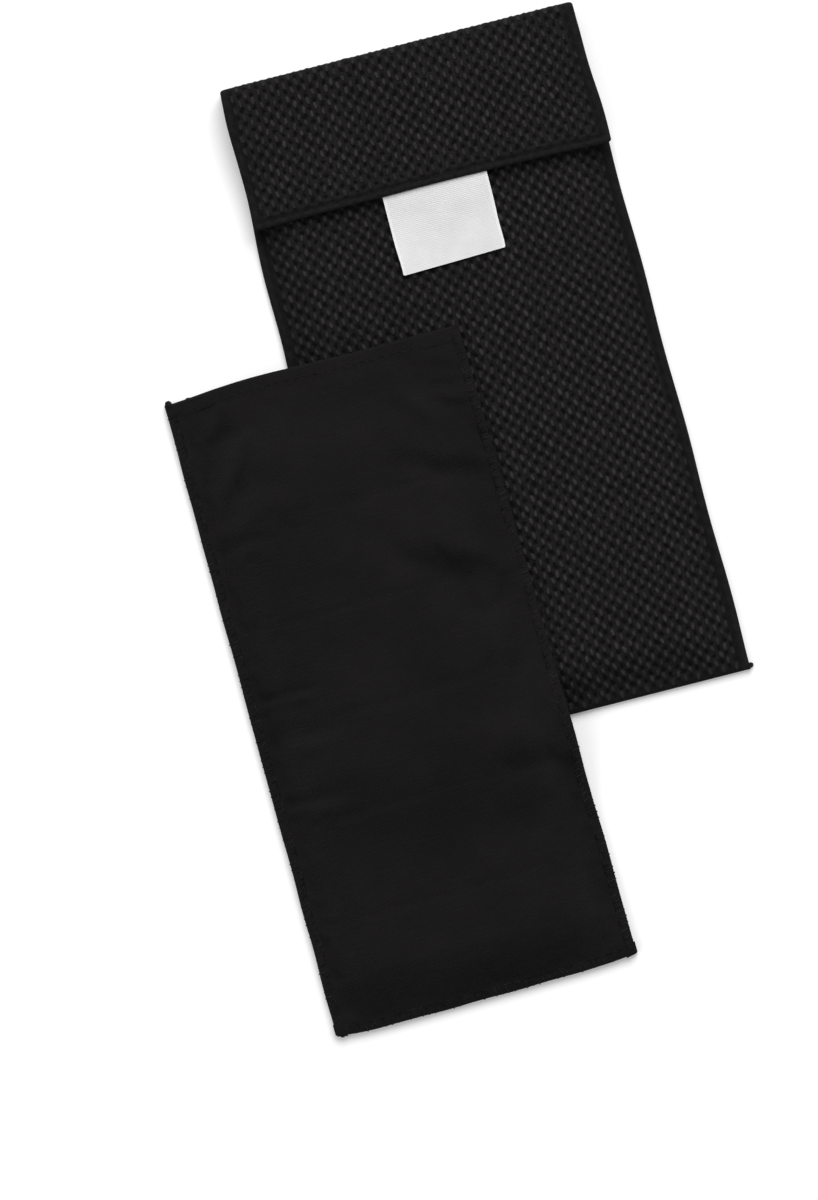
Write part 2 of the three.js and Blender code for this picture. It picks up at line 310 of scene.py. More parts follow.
# Along the pressed edges the ground turns darker in streaks: partly the flattened cloth, partly painted shade
# on the rolled edge.
streak = noise(tree, tree.combine(X=across, Y=along * 0.25), 700)
band = mixed(tree, ramp(tree, streak, 0.35, 0.65), tinted(0.0045), tinted(0.0085))
bare = mixed(tree, unpressed_unshaded, band, bare)
bare = mixed(tree, sunk * ramp(tree, streak, 0.3, 0.6, 0.4, 0.9), bare, tinted(0.002))
strand = mixed(tree, fuzz * 0.5, bare, tinted(0.017))
end_finish(tree, {
    "Base Color": mixed(tree, pores * 0.96, strand, tinted(0.001)),
    "Roughness": stretched(tree, fuzz, 0.75, 0.95),
    "Specular IOR Level": 0.1,
    "Normal": bumped(tree, lattice * 0.5 + yarn * 0.12 + fuzz * 0.5, 0.35 * MM),
})

grain_yarn, tree = start_finish("grain_yarn")
where = object_place(tree)
spot = tree.separate(where)
twist = wave(tree, spot.other("Y") + spot * 0.6, 0.42 * MM)
fuzz = noise(tree, where, 1900)
back = mixed(tree, attribute(tree, "tone"), tinted(0.013), tinted(0.036))
back = mixed(tree, ramp(tree, fuzz, 0.35, 0.8) * 0.6, back, tinted(0.015))
# `crest` paints each grain darker towards its flanks and base: painted shade, with its back left at its tone.
end_finish(tree, {
    "Base Color": mixed(tree, ramp(tree, attribute(tree, "crest"), 0.0, 0.9), tinted(0.008), back),
    "Roughness": stretched(tree, fuzz, 0.6, 0.85),
    "Specular IOR Level": 0.15,
    "Normal": bumped(tree, twist * 0.4 + fuzz, 0.12 * MM),
})
print("mesh cloth: grains", COLUMN_PITCH / MM, "by", GRAIN_PITCH / MM, "mm apart")

# %% [markdown]
# The pouch is a fine plain weave with a dull, slightly brushed face. Its lining is the same
# cloth a little darker and smoother. One function makes both, with the yarn's pitch and the
# cloth's level as arguments.

# %% Plain woven cottons


def plain_weave(name, level, pitch, lint):
    material, tree = start_finish(name)
    across, along = cut_place(tree)
    where = object_place(tree)
    warp = wave(tree, across, pitch)
    weft = wave(tree, along, pitch)
    checker = wave(tree, across, 2 * pitch) * wave(tree, along, 2 * pitch)
    over = ramp(tree, checker, -0.5, 0.5)
    weave = over * warp + (1 - over) * weft
    slub = noise(tree, tree.combine(X=across * 0.12, Y=along), 1500)
    fuzz = noise(tree, where, 3000)
    cloud = noise(tree, where, 45, 4.0)
    base = mixed(tree, stretched(tree, cloud), tinted(level * 0.85), tinted(level * 1.12))
    worn = mixed(tree, ramp(tree, weave, 0.0, 1.0) * 0.35, base, tinted(level * 1.7))
    fluffy = mixed(tree, ramp(tree, fuzz, 0.6, 0.8) * lint, worn, tinted(level * 3.0))
    end_finish(tree, {
        "Base Color": fluffy,
        "Roughness": stretched(tree, slub, 0.82, 0.98),
        "Specular IOR Level": 0.08,
        "Sheen Weight": 0.015,
        "Sheen Roughness": 0.5,
        "Normal": bumped(tree, weave * 0.5 + slub * 0.7 + fuzz * 0.4, 0.1 * MM),
    })
    return material


black_cotton = plain_weave("black_cotton", 0.0081, 0.55 * MM, 0.35)
lining_cotton = plain_weave("lining_cotton", 0.0065, 0.45 * MM, 0.2)
print("cottons:", black_cotton.name, lining_cotton.name)

# %% [markdown]
# The small materials are the twisted sewing thread, the nylon of the hook-and-loop closure, the
# frosted crystals, and the tag's white satin, which is woven tighter along its two sides.

# %% Thread, nylon and crystals
black_thread, tree = start_finish("black_thread")
where = object_place(tree)
spot = tree.separate(where)
ply = wave(tree, spot + spot.other("Y") + spot.other("Z"), 0.35 * MM)
fuzz = noise(tree, where, 2200)
worn = noise(tree, where, 420, 2.0)
end_finish(tree, {
    "Base Color": mixed(tree, ramp(tree, fuzz * 0.4 + worn * 0.6, 0.4, 0.62), tinted(0.003), tinted(0.02)),
    "Roughness": stretched(tree, fuzz, 0.6, 0.85),
    "Specular IOR Level": 0.12,
    "Normal": bumped(tree, ply + fuzz, 0.06 * MM),
})

black_nylon, tree = start_finish("black_nylon")
fuzz = noise(tree, object_place(tree), 1800)
end_finish(tree, {
    "Base Color": mixed(tree, fuzz, grey(0.003), grey(0.009)),
    "Roughness": stretched(tree, fuzz, 0.4, 0.65),
    "Specular IOR Level": 0.2,
    "Normal": bumped(tree, fuzz, 0.08 * MM),
})

clear_crystals, tree = start_finish("clear_crystals")
frost = noise(tree, object_place(tree), 900)
end_finish(tree, {
    "Base Color": mixed(tree, frost, (0.62, 0.66, 0.66, 1), (0.82, 0.84, 0.82, 1)),
    "Roughness": stretched(tree, frost, 0.15, 0.45),
    "IOR": 1.5,
    "Normal": bumped(tree, frost, 0.05 * MM),
})
print("small materials:", black_thread.name, black_nylon.name, clear_crystals.name)

# %% Satin of the tag
TAG_BORDER = 0.9 * MM
tag_low, tag_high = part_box("label_tag")
tag_middle = (tag_low.x + tag_high.x) / 2
tag_half = (tag_high.x - tag_low.x) / 2

white_satin, tree = start_finish("white_satin")
across, along = cut_place(tree)
rib = wave(tree, along, 0.5 * MM)
floats = wave(tree, across + along * 0.35, 0.62 * MM)
fuzz = noise(tree, object_place(tree), 1500)
cloud = noise(tree, object_place(tree), 140)
from_side = tag_half - tree.maths("ABSOLUTE", across)
border = 1 - ramp(tree, from_side, TAG_BORDER * 0.7, TAG_BORDER)
face = mixed(tree, stretched(tree, cloud), grey(0.68), grey(0.73))
face = mixed(tree, ramp(tree, floats, 0.2, 1.0) * 0.25, face, grey(0.78))
end_finish(tree, {
    "Base Color": mixed(tree, border * 0.7, face, grey(0.82)),
    "Roughness": stretched(tree, fuzz, 0.5, 0.7),
    "Specular IOR Level": 0.25,
    "Sheen Weight": 0.05,
    "Normal": bumped(tree, rib * 0.5 + floats * 0.3 + fuzz * 0.3, 0.06 * MM),
})
print("tag", round(2 * tag_half / MM, 1), "mm wide")

# %% [markdown]
# ## Sheets of cloth
#
# A sheet could be a plane with a Solidify modifier. Written as a grid of points it can follow
# any rule, keep its cut shape in a UV map, and carry the distance from its edge as an attribute,
# which later tells the grains where to stop. `make_sheet` closes the grid into a thin solid.

# %% Rules for cloth


def smooth(value, start, end):
    share = np.clip((value - start) / (end - start), 0, 1)
    return share * share * (3 - 2 * share)


def rolled(inside, radius):
    """Height share of a rounded edge: 0 on the edge, and 1 a radius inside it."""
    share = np.clip(inside / radius, 0, 1)
    return np.sqrt(1 - (1 - share) ** 2)


def uneven(x, y, length, seed):
    """A soft random field of about -1 to 1, with humps about `length` apart."""
    draw = np.random.default_rng(seed)
    total = np.zeros(np.broadcast(x, y).shape)
    waves = 6
    for _ in range(waves):
        turn, phase = draw.uniform(0, 2 * math.pi, 2)
        pace = 2 * math.pi / (length * draw.uniform(0.7, 1.5))
        total += np.sin((x * math.cos(turn) + y * math.sin(turn)) * pace + phase)
    return total / math.sqrt(waves)


def edge_ladder(radius, sewn, reach):
    """Distances from an edge: close together where it is rounded, and up to the line where it is sewn."""
    turn = np.linspace(0, math.pi / 2, 6)
    near = np.linspace(radius, sewn, 9)[1:]
    return np.concatenate([radius * (1 - np.cos(turn)), near, np.linspace(sewn, reach, 8)[1:]])


def between_edges(left, right, ladder, middle):
    """Rows of points from a left to a right edge, close together along both."""
    near = left[:, None] + ladder
    far = right[:, None] - ladder[::-1]
    share = np.linspace(0, 1, middle + 2)[1:-1]
    core = near[:, -1:] + (far[:, :1] - near[:, -1:]) * share
    return np.concatenate([near, core, far], axis=1)


# %% Make a sheet or a plain piece
SMOOTH_ANGLE = math.radians(55)


def add_piece(name, mesh, material):
    piece = bpy.data.objects.new(name, mesh)
    bpy.context.collection.objects.link(piece)
    if not mesh.materials:
        mesh.materials.append(material)
    return piece


def carry(body, slot, *pieces):
    """Pieces that ride on a body. The slot of their finish is not used."""
    for piece in pieces:
        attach(piece, body)


def grid_faces(rows, columns):
    """The numbers of a grid's points, and its faces."""
    index = np.arange(rows * columns).reshape(rows, columns)
    corners = [index[:-1, :-1], index[:-1, 1:], index[1:, 1:], index[1:, :-1]]
    return index, np.stack(corners, -1).reshape(-1, 4)


def face_normals(outer):
    normal = np.cross(np.gradient(outer, axis=1), np.gradient(outer, axis=0))
    return normal / np.linalg.norm(normal, axis=2, keepdims=True)


def make_sheet(name, outer, thick, flat, material, edge=None):
    """A closed sheet. outer is a grid of points on its face, flat their places on the cut cloth."""
    rows, columns = outer.shape[:2]
    count = rows * columns
    inner = outer - face_normals(outer) * np.broadcast_to(thick, (rows, columns))[..., None]
    index, face = grid_faces(rows, columns)
    rim = np.concatenate([index[0, :-1], index[:-1, -1], index[-1, :0:-1], index[:0:-1, 0]])
    ahead = np.roll(rim, -1)
    side = np.stack([ahead, rim, rim + count, ahead + count], -1)
    faces = np.concatenate([face, face[:, ::-1] + count, side])
    points = np.concatenate([outer.reshape(-1, 3), inner.reshape(-1, 3)])
    mesh = bpy.data.meshes.new(name)
    mesh.from_pydata(points.tolist(), [], faces.tolist())
    apart = np.repeat([0.0, 1.0, 2.0], [4 * len(face), 4 * len(face), 4 * len(side)])
    places = flat.reshape(-1, 2)[faces.ravel() % count] + np.stack([apart, 0 * apart], -1)
    mesh.uv_layers.new(name="flat").data.foreach_set("uv", places.astype(np.float32).ravel())
    inside = np.zeros(count) if edge is None else np.broadcast_to(edge, (rows, columns)).ravel()
    layer = mesh.attributes.new("edge", "FLOAT", "POINT")
    layer.data.foreach_set("value", np.tile(inside, 2).astype(np.float32))
    mesh.polygons.foreach_set("use_smooth", [True] * len(faces))
    mesh.set_sharp_from_angle(angle=SMOOTH_ANGLE)
    mesh.update()
    return add_piece(name, mesh, material)


def declare_sheet(piece, flat):
    """Prints a piece's name, the width and length that it was cut to, and its number of faces."""
    width = float(np.ptp(flat[..., 0]))
    length = float(np.ptp(flat[..., 1]))
    size = str(round(width / MM)) + " by " + str(round(length / MM)) + " mm,"
    print(piece.name, "cut", size, len(piece.data.polygons), "faces")


# %% [markdown]
# ## Growing what repeats
#
# Grains, stitches, loops of thread and hooks repeat hundreds of times along a cloth or a path.
# Geometry Nodes suit that: a small shape is put on many points by a rule, and the same tree
# serves every cloth. `grow` runs a tree on a carrier mesh and keeps the result as a plain mesh.

# %% Start, end and run a geometry tree


def start_tree(name, sizes):
    group = bpy.data.node_groups.new(name, "GeometryNodeTree")
    group.interface.new_socket("Geometry", in_out="OUTPUT", socket_type="NodeSocketGeometry")
    for title, kind in {"Geometry": "Geometry", **sizes, "Material": "Material"}.items():
        group.interface.new_socket(title, in_out="INPUT", socket_type="NodeSocket" + kind)
    tree = Tree(group)
    first = tree.add("NodeGroupInput")
    outputs = first.socket.node.outputs
    return tree, {socket.name: Wire(tree, socket) for socket in outputs if socket.name}


def end_tree(tree, given, geometry):
    whole = tree.add("GeometryNodeRealizeInstances", {}, {"Geometry": geometry})
    soft = tree.add("GeometryNodeSetShadeSmooth", {}, {"Geometry": whole})
    dressed = tree.add("GeometryNodeSetMaterial", {}, {"Geometry": soft, "Material": given["Material"]})
    tree.add("NodeGroupOutput", {}, {"Geometry": dressed})
    return tree.data


def grow(name, carrier_mesh, group, sizes, material):
    """Runs a geometry tree on a mesh and keeps what grows as a plain piece."""
    carrier = bpy.data.objects.new("carrier", carrier_mesh)
    bpy.context.collection.objects.link(carrier)
    modifier = carrier.modifiers.new("grow", "NODES")
    modifier.node_group = group
    chosen = {**sizes, "Material": material}
    for item in group.interface.items_tree:
        if item.in_out == "INPUT" and item.name in chosen:
            modifier[item.identifier] = chosen[item.name]
    graph = bpy.context.evaluated_depsgraph_get()
    mesh = bpy.data.meshes.new_from_object(carrier.evaluated_get(graph), depsgraph=graph)
    mesh.name = name
    carrier.modifiers.remove(modifier)
    bpy.data.objects.remove(carrier)
    for extra in [layer.name for layer in mesh.attributes if layer.name in ("place", "up", "depth")]:
        mesh.attributes.remove(mesh.attributes[extra])
    print(name, len(mesh.polygons), "faces")
    return add_piece(name, mesh, material)


def random_value(tree, least, most, seed):
    inputs = {"Min": least, "Max": most, "Seed": seed}
    return tree.add("FunctionNodeRandomValue", {"data_type": "FLOAT"}, inputs)


def named(tree, kind, name):
    return tree.add("GeometryNodeInputNamedAttribute", {"data_type": kind}, {"Name": name})


def stored(tree, kind, geometry, name, value):
    inputs = {"Geometry": geometry, "Name": name, "Value": value}
    return tree.add("GeometryNodeStoreNamedAttribute", {"data_type": kind, "domain": "POINT"}, inputs)


def turned_by(tree, turn, spin):
    inputs = {"Rotation": turn, "Rotate By": spin}
    return tree.add("FunctionNodeRotateRotation", {"rotation_space": "LOCAL"}, inputs)


def thread_shape(tree, path, radius, sides=5):
    """A thread of a given radius along a curve."""
    ring = tree.add("GeometryNodeCurvePrimitiveCircle", {}, {"Resolution": sides, "Radius": radius})
    inputs = {"Curve": path, "Profile Curve": ring, "Fill Caps": True}
    return tree.add("GeometryNodeCurveToMesh", {}, inputs)


# %% [markdown]
# The grains' tree lays a grid over the cut cloth, shifts every second column by half a grain,
# and reads the place, normal and length direction of the made-up cloth through the UV map. So
# the columns run on round the fold, exactly as they do when a real cloth is folded.

# %% Tree of woven grains
PRESSED_SHARE = 0.45  # share of its height that is left to a grain beside a pressed edge
STRAY_ASIDE = 0.13  # how far a grain may lie off its place, as shares of both pitches
STRAY_AHEAD = 0.08
GRAIN_LEAN = 0.28  # how far it may be turned off its slant
LEAST_SWELL = 0.84
MOST_SWELL = 1.12


def make_grain_tree():
    sizes = {
        "Columns": "Int", "Rows": "Int", "Column pitch": "Float", "Grain pitch": "Float",
        "Middle": "Float", "Margin": "Float", "Pressed": "Float", "Grain size": "Vector",
        "Slant": "Float", "Seed": "Int",
    }
    tree, given = start_tree("woven_grains", sizes)
    column = given["Column pitch"]
    grain = given["Grain pitch"]
    seed = given["Seed"]
    grid = tree.add("GeometryNodeMeshGrid", {}, {
        "Size X": column * (given["Columns"] - 1), "Size Y": grain * (given["Rows"] - 1),
        "Vertices X": given["Columns"], "Vertices Y": given["Rows"],
    })
    spot = tree.separate(tree.add("GeometryNodeInputPosition"))
    odd = tree.maths("FLOORED_MODULO", tree.maths("ROUND", spot / column), 2.0)
    aside = random_value(tree, -STRAY_ASIDE, STRAY_ASIDE, seed) * column
    ahead = random_value(tree, -STRAY_AHEAD, STRAY_AHEAD, seed + 1) * grain
    along = spot.other("Y") + odd * grain / 2 + given["Middle"] + ahead
    marked = stored(tree, "FLOAT_VECTOR", grid, "place", tree.combine(X=spot + aside, Y=along))
    here = named(tree, "FLOAT_VECTOR", "place")
    cut = named(tree, "FLOAT_VECTOR", "flat")

    def on_cloth(kind, value, at):
        inputs = {"Mesh": given["Geometry"], "Value": value, "UV Map": cut, "Sample UV": at}
        return tree.add("GeometryNodeSampleUVSurface", {"data_type": kind}, inputs)

    position = tree.add("GeometryNodeInputPosition")
    seat = on_cloth("FLOAT_VECTOR", position, here)
    next_seat = on_cloth("FLOAT_VECTOR", position, tree.vector("ADD", here, tree.combine(Y=grain * 0.1)))
    normal = on_cloth("FLOAT_VECTOR", tree.add("GeometryNodeInputNormal"), here)
    inside = on_cloth("FLOAT", named(tree, "FLOAT", "edge"), here)
    seated = tree.add("GeometryNodeSetPosition", {}, {"Geometry": marked, "Position": seat})
    bare = {"A": inside, "B": given["Margin"]}
    grained = tree.add("FunctionNodeCompare", {"operation": "GREATER_THAN"}, bare)
    kept = tree.add("FunctionNodeBooleanMath", {"operation": "AND"}, {0: grained, 1: seat.other("Is Valid")})
    lengthways = tree.vector("SUBTRACT", next_seat, seat)
    turned = tree.add("FunctionNodeAxesToRotation", {"primary_axis": "Z", "secondary_axis": "Y"},
                      {"Primary Axis": normal, "Secondary Axis": lengthways})
    lean = given["Slant"] + random_value(tree, -GRAIN_LEAN, GRAIN_LEAN, seed + 2)
    leaning = turned_by(tree, turned, tree.spin(Z=lean))
    plump_unshaded = ramp(tree, inside, given["Margin"], given["Margin"] + given["Pressed"], PRESSED_SHARE, 1.0)
    swell = random_value(tree, LEAST_SWELL, MOST_SWELL, seed + 3)
    size = tree.vector("MULTIPLY", given["Grain size"], tree.combine(X=swell, Y=swell, Z=swell * plump_unshaded))
    shape = tree.add("GeometryNodeMeshUVSphere", {}, {"Segments": 8, "Rings": 4, "Radius": 0.5})
    height = tree.separate(tree.add("GeometryNodeInputPosition")).other("Z")
    # The height stored as `crest` becomes painted shade on the grain's flanks in its material.
    crested = stored(tree, "FLOAT", shape, "crest", height * 2.0)
    worn = stretched(tree, noise(tree, position, 70, 2.0), 0.25, 1.0)
    # A grain's tone is random, and falls with its plumpness towards pressed edges and the fold: partly pressed
    # cloth, partly painted shade.
    tone = (random_value(tree, 0.0, 0.6, seed + 4) + worn * 0.4) * plump_unshaded * plump_unshaded
    toned = stored(tree, "FLOAT", seated, "tone", tone)
    grains = tree.add("GeometryNodeInstanceOnPoints", {}, {
        "Points": toned, "Selection": kept, "Instance": crested, "Rotation": leaning, "Scale": size,
    })
    return end_tree(tree, given, grains)


grain_tree = make_grain_tree()
print("tree of grains:", len(grain_tree.nodes), "nodes")

# %% Grains of a cloth
GRAIN_SIZE = (1.32 * MM, 2.45 * MM, 0.7 * MM)
GRAIN_RISE = GRAIN_SIZE[2] / 2  # the ground lies this far below the tops of its grains
GRAIN_SLANT = math.radians(6)
BARE_BAND = 2.7 * MM  # along the edges the cloth is pressed flat and has no grains
PRESSED_BAND = 3 * MM  # beside that band they are still flatter, and darker partly as painted shade


def grow_grains(name, cloth, flat, seed, pressed=PRESSED_BAND):
    """Grains over a whole cloth, in step with its ground, and flatter close to its edges."""
    columns = 2 * math.ceil(np.abs(flat[..., 0]).max() / COLUMN_PITCH) + 1
    first = math.floor(flat[..., 1].min() / GRAIN_PITCH)
    last = math.ceil(flat[..., 1].max() / GRAIN_PITCH)
    rows = last - first + 1
    return grow(name, cloth.data, grain_tree, {
        "Columns": columns, "Rows": rows, "Column pitch": COLUMN_PITCH, "Grain pitch": GRAIN_PITCH,
        "Middle": (first + last) / 2 * GRAIN_PITCH, "Margin": BARE_BAND, "Pressed": pressed,
        "Grain size": GRAIN_SIZE, "Slant": GRAIN_SLANT, "Seed": seed,
    }, grain_yarn)


# %% [markdown]
# Stitches and overlock loops follow a path. A path is a mesh of edges whose points carry an `up`
# vector. The tree turns it into a curve, spaces points along it, and puts a short arched thread
# or a half loop on each.

# %% Paths, and the tree of stitches


def make_path(points, up):
    """A mesh of edges through the points, with the direction away from the cloth at each."""
    mesh = bpy.data.meshes.new("path")
    links = [(k, k + 1) for k in range(len(points) - 1)]
    mesh.from_pydata(np.asarray(points).tolist(), links, [])
    layer = mesh.attributes.new("up", "FLOAT_VECTOR", "POINT")
    layer.data.foreach_set("vector", np.asarray(up, dtype=np.float32).ravel())
    return mesh


def stations(tree, given, loose):
    """Points spaced along the path, and the turn that sets X along it and Z up, give or take loose."""
    path = tree.add("GeometryNodeMeshToCurve", {}, {"Mesh": given["Geometry"]})
    pitch = {"Curve": path, "Length": given["Pitch"]}
    spaced = tree.add("GeometryNodeResampleCurve", {"mode": "LENGTH"}, pitch)
    turn = tree.add("FunctionNodeAxesToRotation", {"primary_axis": "X", "secondary_axis": "Z"}, {
        "Primary Axis": tree.add("GeometryNodeInputTangent"),
        "Secondary Axis": named(tree, "FLOAT_VECTOR", "up"),
    })
    wobble = random_value(tree, -loose, loose, given["Seed"])
    return spaced, turned_by(tree, turn, tree.spin(Z=wobble))


def make_stitch_tree():
    sizes = {"Pitch": "Float", "Stitch length": "Float", "Arch": "Float", "Radius": "Float", "Seed": "Int"}
    tree, given = start_tree("stitches", sizes)
    half = given["Stitch length"] / 2
    path = tree.add("GeometryNodeCurveQuadraticBezier", {}, {
        "Resolution": 4,
        "Start": tree.combine(X=0.0 - half),
        "Middle": tree.combine(Z=given["Arch"] * 2),
        "End": tree.combine(X=half),
    })
    spaced, turn = stations(tree, given, 0.12)
    sewn = tree.add("GeometryNodeInstanceOnPoints", {}, {
        "Points": spaced, "Instance": thread_shape(tree, path, given["Radius"]), "Rotation": turn,
    })
    return end_tree(tree, given, sewn)


stitch_tree = make_stitch_tree()
STITCH_ARCH = 0.12 * MM


def sew(name, points, up, seed, pitch=3.0 * MM, length=2.3 * MM, radius=0.12 * MM):
    sizes = {"Pitch": pitch, "Stitch length": length, "Arch": STITCH_ARCH, "Radius": radius, "Seed": seed}
    return grow(name, make_path(points, up), stitch_tree, sizes, black_thread)


# %% Tree of overlock loops, and tree of loose threads


def make_overlock_tree():
    sizes = {
        "Pitch": "Float", "Reach": "Float", "Rise": "Float", "Radius": "Float", "Slant": "Float",
        "Seed": "Int",
    }
    tree, given = start_tree("overlock_loops", sizes)
    arc = tree.add("GeometryNodeCurveArc", {"mode": "RADIUS"}, {
        "Resolution": 7, "Radius": 1.0, "Start Angle": math.pi / 2, "Sweep Angle": math.pi,
    })
    flattened = tree.add("GeometryNodeTransform", {}, {
        "Geometry": arc, "Scale": tree.combine(X=given["Reach"], Y=given["Rise"], Z=1.0),
    })
    stood_up = tree.add("GeometryNodeTransform", {}, {
        "Geometry": flattened, "Rotation": (math.pi / 2, 0, math.pi / 2),
    })
    slanted = tree.add("GeometryNodeTransform", {}, {
        "Geometry": stood_up,
        "Translation": tree.combine(Y=given["Reach"]),
        "Rotation": tree.spin(Z=given["Slant"]),
    })
    spaced, turn = stations(tree, given, 0.3)
    reach = random_value(tree, 0.75, 1.1, given["Seed"] + 5)
    slack = random_value(tree, 0.97, 1.12, given["Seed"] + 6)
    looped = tree.add("GeometryNodeInstanceOnPoints", {}, {
        "Points": spaced, "Instance": thread_shape(tree, slanted, given["Radius"]), "Rotation": turn,
        "Scale": tree.combine(X=1.0, Y=reach, Z=slack),
    })
    return end_tree(tree, given, looped)


def make_thread_tree():
    tree, given = start_tree("loose_threads", {"Radius": "Float", "Steps": "Int"})
    path = tree.add("GeometryNodeMeshToCurve", {}, {"Mesh": given["Geometry"]})
    soft = tree.add("GeometryNodeCurveSplineType", {"spline_type": "CATMULL_ROM"}, {"Curve": path})
    even = tree.add("GeometryNodeResampleCurve", {"mode": "COUNT"}, {"Curve": soft, "Count": given["Steps"]})
    return end_tree(tree, given, thread_shape(tree, even, given["Radius"], 6))


overlock_tree = make_overlock_tree()
thread_tree = make_thread_tree()
print("geometry trees:", [group.name for group in bpy.data.node_groups])

# %% [markdown]
# ## The cover's front and back
#
# The cover is one cloth, folded at the foot and sewn up both sides, then turned, so its sides
# are rolled edges that stand a little off the table and the front rises from them to a flat
# top. A box with bevels would have sharp shoulders. Here the height of the front follows three
# rules: a quarter circle at the edge, a sunk line where the side is sewn, and a long soft
# shoulder behind it.

# %% The front's height
EDGE_ROUND = seam_line
SHOULDER = 13 * MM
SEWN_LINE = 2.5 * MM  # each side is sewn along a sunk line this far inside its edge
SEWN_HALF = 0.5 * MM
SEWN_DEPTH = 0.45 * MM
SEAM_WANDER = 0.22 * MM
SEAM_PUCKER = 0.16 * MM
FRONT_SWAY = 0.1 * MM


def side_edge(y, sign):
    """The line of a side seam, which wanders a little."""
    wander = SEAM_WANDER * uneven(y, sign * 0.2 + 0 * y, 32 * MM, 3)
    return sign * cover_half(y) + wander


def front_height(x, y):
    inside = np.minimum(x - side_edge(y, -1), side_edge(y, 1) - x)
    up = y - cover_foot
    roll = rolled(inside, EDGE_ROUND) * rolled(up, EDGE_ROUND)
    rise = smooth(inside, SEWN_LINE, SHOULDER) * smooth(up, EDGE_ROUND, SHOULDER)
    tight = 0.75 + 0.25 * uneven(y, 0 * x, 9 * MM, 9)
    groove = SEWN_DEPTH * tight * np.exp(-(((inside - SEWN_LINE) / SEWN_HALF) ** 2)) * smooth(up, 0, 4 * MM)
    pucker = SEAM_PUCKER * uneven(y, 0.4 * x, 7 * MM, 5) * roll * (1 - smooth(inside, 2 * MM, 7 * MM))
    sway = FRONT_SWAY * uneven(x, y, 42 * MM, 11) * rise
    level = front_top - GRAIN_RISE - seam_top
    return seam_line + (seam_top - seam_line) * roll + level * rise + pucker + sway - groove


print("front: from", round(seam_line / MM, 2), "mm at the seams to", round(front_top / MM, 2), "mm")

# %% The front cloth
MESH_THICK = 0.9 * MM
FOLD_KEPT = 1.4 * MM  # the foot is a fold and no seam, so the grains run on nearer to its edge
MIDDLE_COLUMNS = 26  # columns of points between those along the two sides

ladder = edge_ladder(EDGE_ROUND, SEWN_LINE + 2 * SEWN_HALF, SHOULDER)
rows_above = np.linspace(cover_foot + SHOULDER, mouth - 0.4 * MM, 56)[1:]
front_y = np.concatenate([cover_foot + ladder, rows_above])
left = side_edge(front_y, -1)
right = side_edge(front_y, 1)
front_x = between_edges(left, right, ladder, MIDDLE_COLUMNS)
front_rows = np.broadcast_to(front_y[:, None], front_x.shape)
front_points = np.stack([front_x, front_rows, front_height(front_x, front_rows)], -1)
front_flat = np.stack([front_x, front_rows - cover_foot], -1)
front_inside = np.minimum(front_x - left[:, None], right[:, None] - front_x)
front_inside = np.minimum(front_inside, front_rows - cover_foot + FOLD_KEPT)
front_cloth = make_sheet(
    "cover_front_cloth", front_points, MESH_THICK, front_flat, mesh_ground, front_inside)
front_grains = grow_grains("cover_front_grains", front_cloth, front_flat, 21)
carry("cover", "mesh_cloth", front_cloth, front_grains)
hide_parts("cover_front_panel", "cover_left_seam", "cover_right_seam", "cover_bottom_fold")

# %% [markdown]
# The back lies on the table with its grains, and its edges curl up to the same seam line. Above
# the mouth it runs on without a seam: round the bottom of the fold and halfway up the spine.
# That last part has to bend when the flap opens, so the sheet is blended from the cover to the
# fold. Its path is drawn once from the side, from straight and round parts.

# %% The back cloth and the lower half of the fold
FOLD_ROUND = 2.3 * MM
BLEND_RUN = 2 * MM  # the cloth bends over this length at each line of the fold
spine_middle = flap_top / 2


def straight(y, z, out_y, out_z):
    """A straight part of a path: the places of its points, and the way out of the cloth."""
    return np.stack(np.broadcast_arrays(y, z, out_y, out_z), -1)


def arc(y, z, half_y, half_z, angle):
    """A round part of a path, about the point y, z."""
    out_y = np.cos(angle)
    out_z = np.sin(angle)
    return np.stack([y + half_y * out_y, z + half_z * out_z, out_y, out_z], -1)


rows_above = np.linspace(cover_foot + SHOULDER, cover_head - FOLD_ROUND, 50)[1:]
flat_y = np.concatenate([cover_foot + ladder, rows_above])
bend = np.linspace(-math.pi / 2, 0, 9)[1:]
spine_z = np.linspace(FOLD_ROUND, spine_middle, 4)[1:]
level_run = straight(flat_y, GRAIN_RISE, 0, -1)
bend_run = arc(cover_head - FOLD_ROUND, FOLD_ROUND, FOLD_ROUND, FOLD_ROUND - GRAIN_RISE, bend)
spine_run = straight(cover_head, spine_z, 1, 0)
back_path = np.concatenate([level_run, bend_run, spine_run])


def run_length(path):
    steps = np.hypot(np.diff(path[:, 0]), np.diff(path[:, 1]))
    return np.concatenate([[0], np.cumsum(steps)])


back_y = np.minimum(back_path[:, 0], cover_head)
left = side_edge(back_y, -1)
right = side_edge(back_y, 1)
back_x = between_edges(left, right, ladder, MIDDLE_COLUMNS)[:, ::-1]
inside = np.minimum(back_x - left[:, None], right[:, None] - back_x)
from_foot = (back_path[:, 0] - cover_foot)[:, None]
inset = (seam_line - GRAIN_RISE) * (1 - rolled(inside, EDGE_ROUND) * rolled(from_foot, EDGE_ROUND))
back_points = np.stack([
    back_x, back_path[:, :1] - back_path[:, 2:3] * inset, back_path[:, 1:2] - back_path[:, 3:4] * inset,
], -1)
back_run = run_length(back_path)
back_flat = np.stack([back_x, np.broadcast_to(back_run[:, None], back_x.shape)], -1)
back_inside = np.minimum(inside, from_foot + FOLD_KEPT)
back_cloth = make_sheet("cover_back_cloth", back_points, MESH_THICK, back_flat, mesh_ground, back_inside)
back_grains = grow_grains("cover_back_grains", back_cloth, back_flat, 22)
for piece in (back_cloth, back_grains):
    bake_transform(piece, "cover", "fold", start=(0, cover_head - BLEND_RUN, 0), end=(0, cover_head, BLEND_RUN))
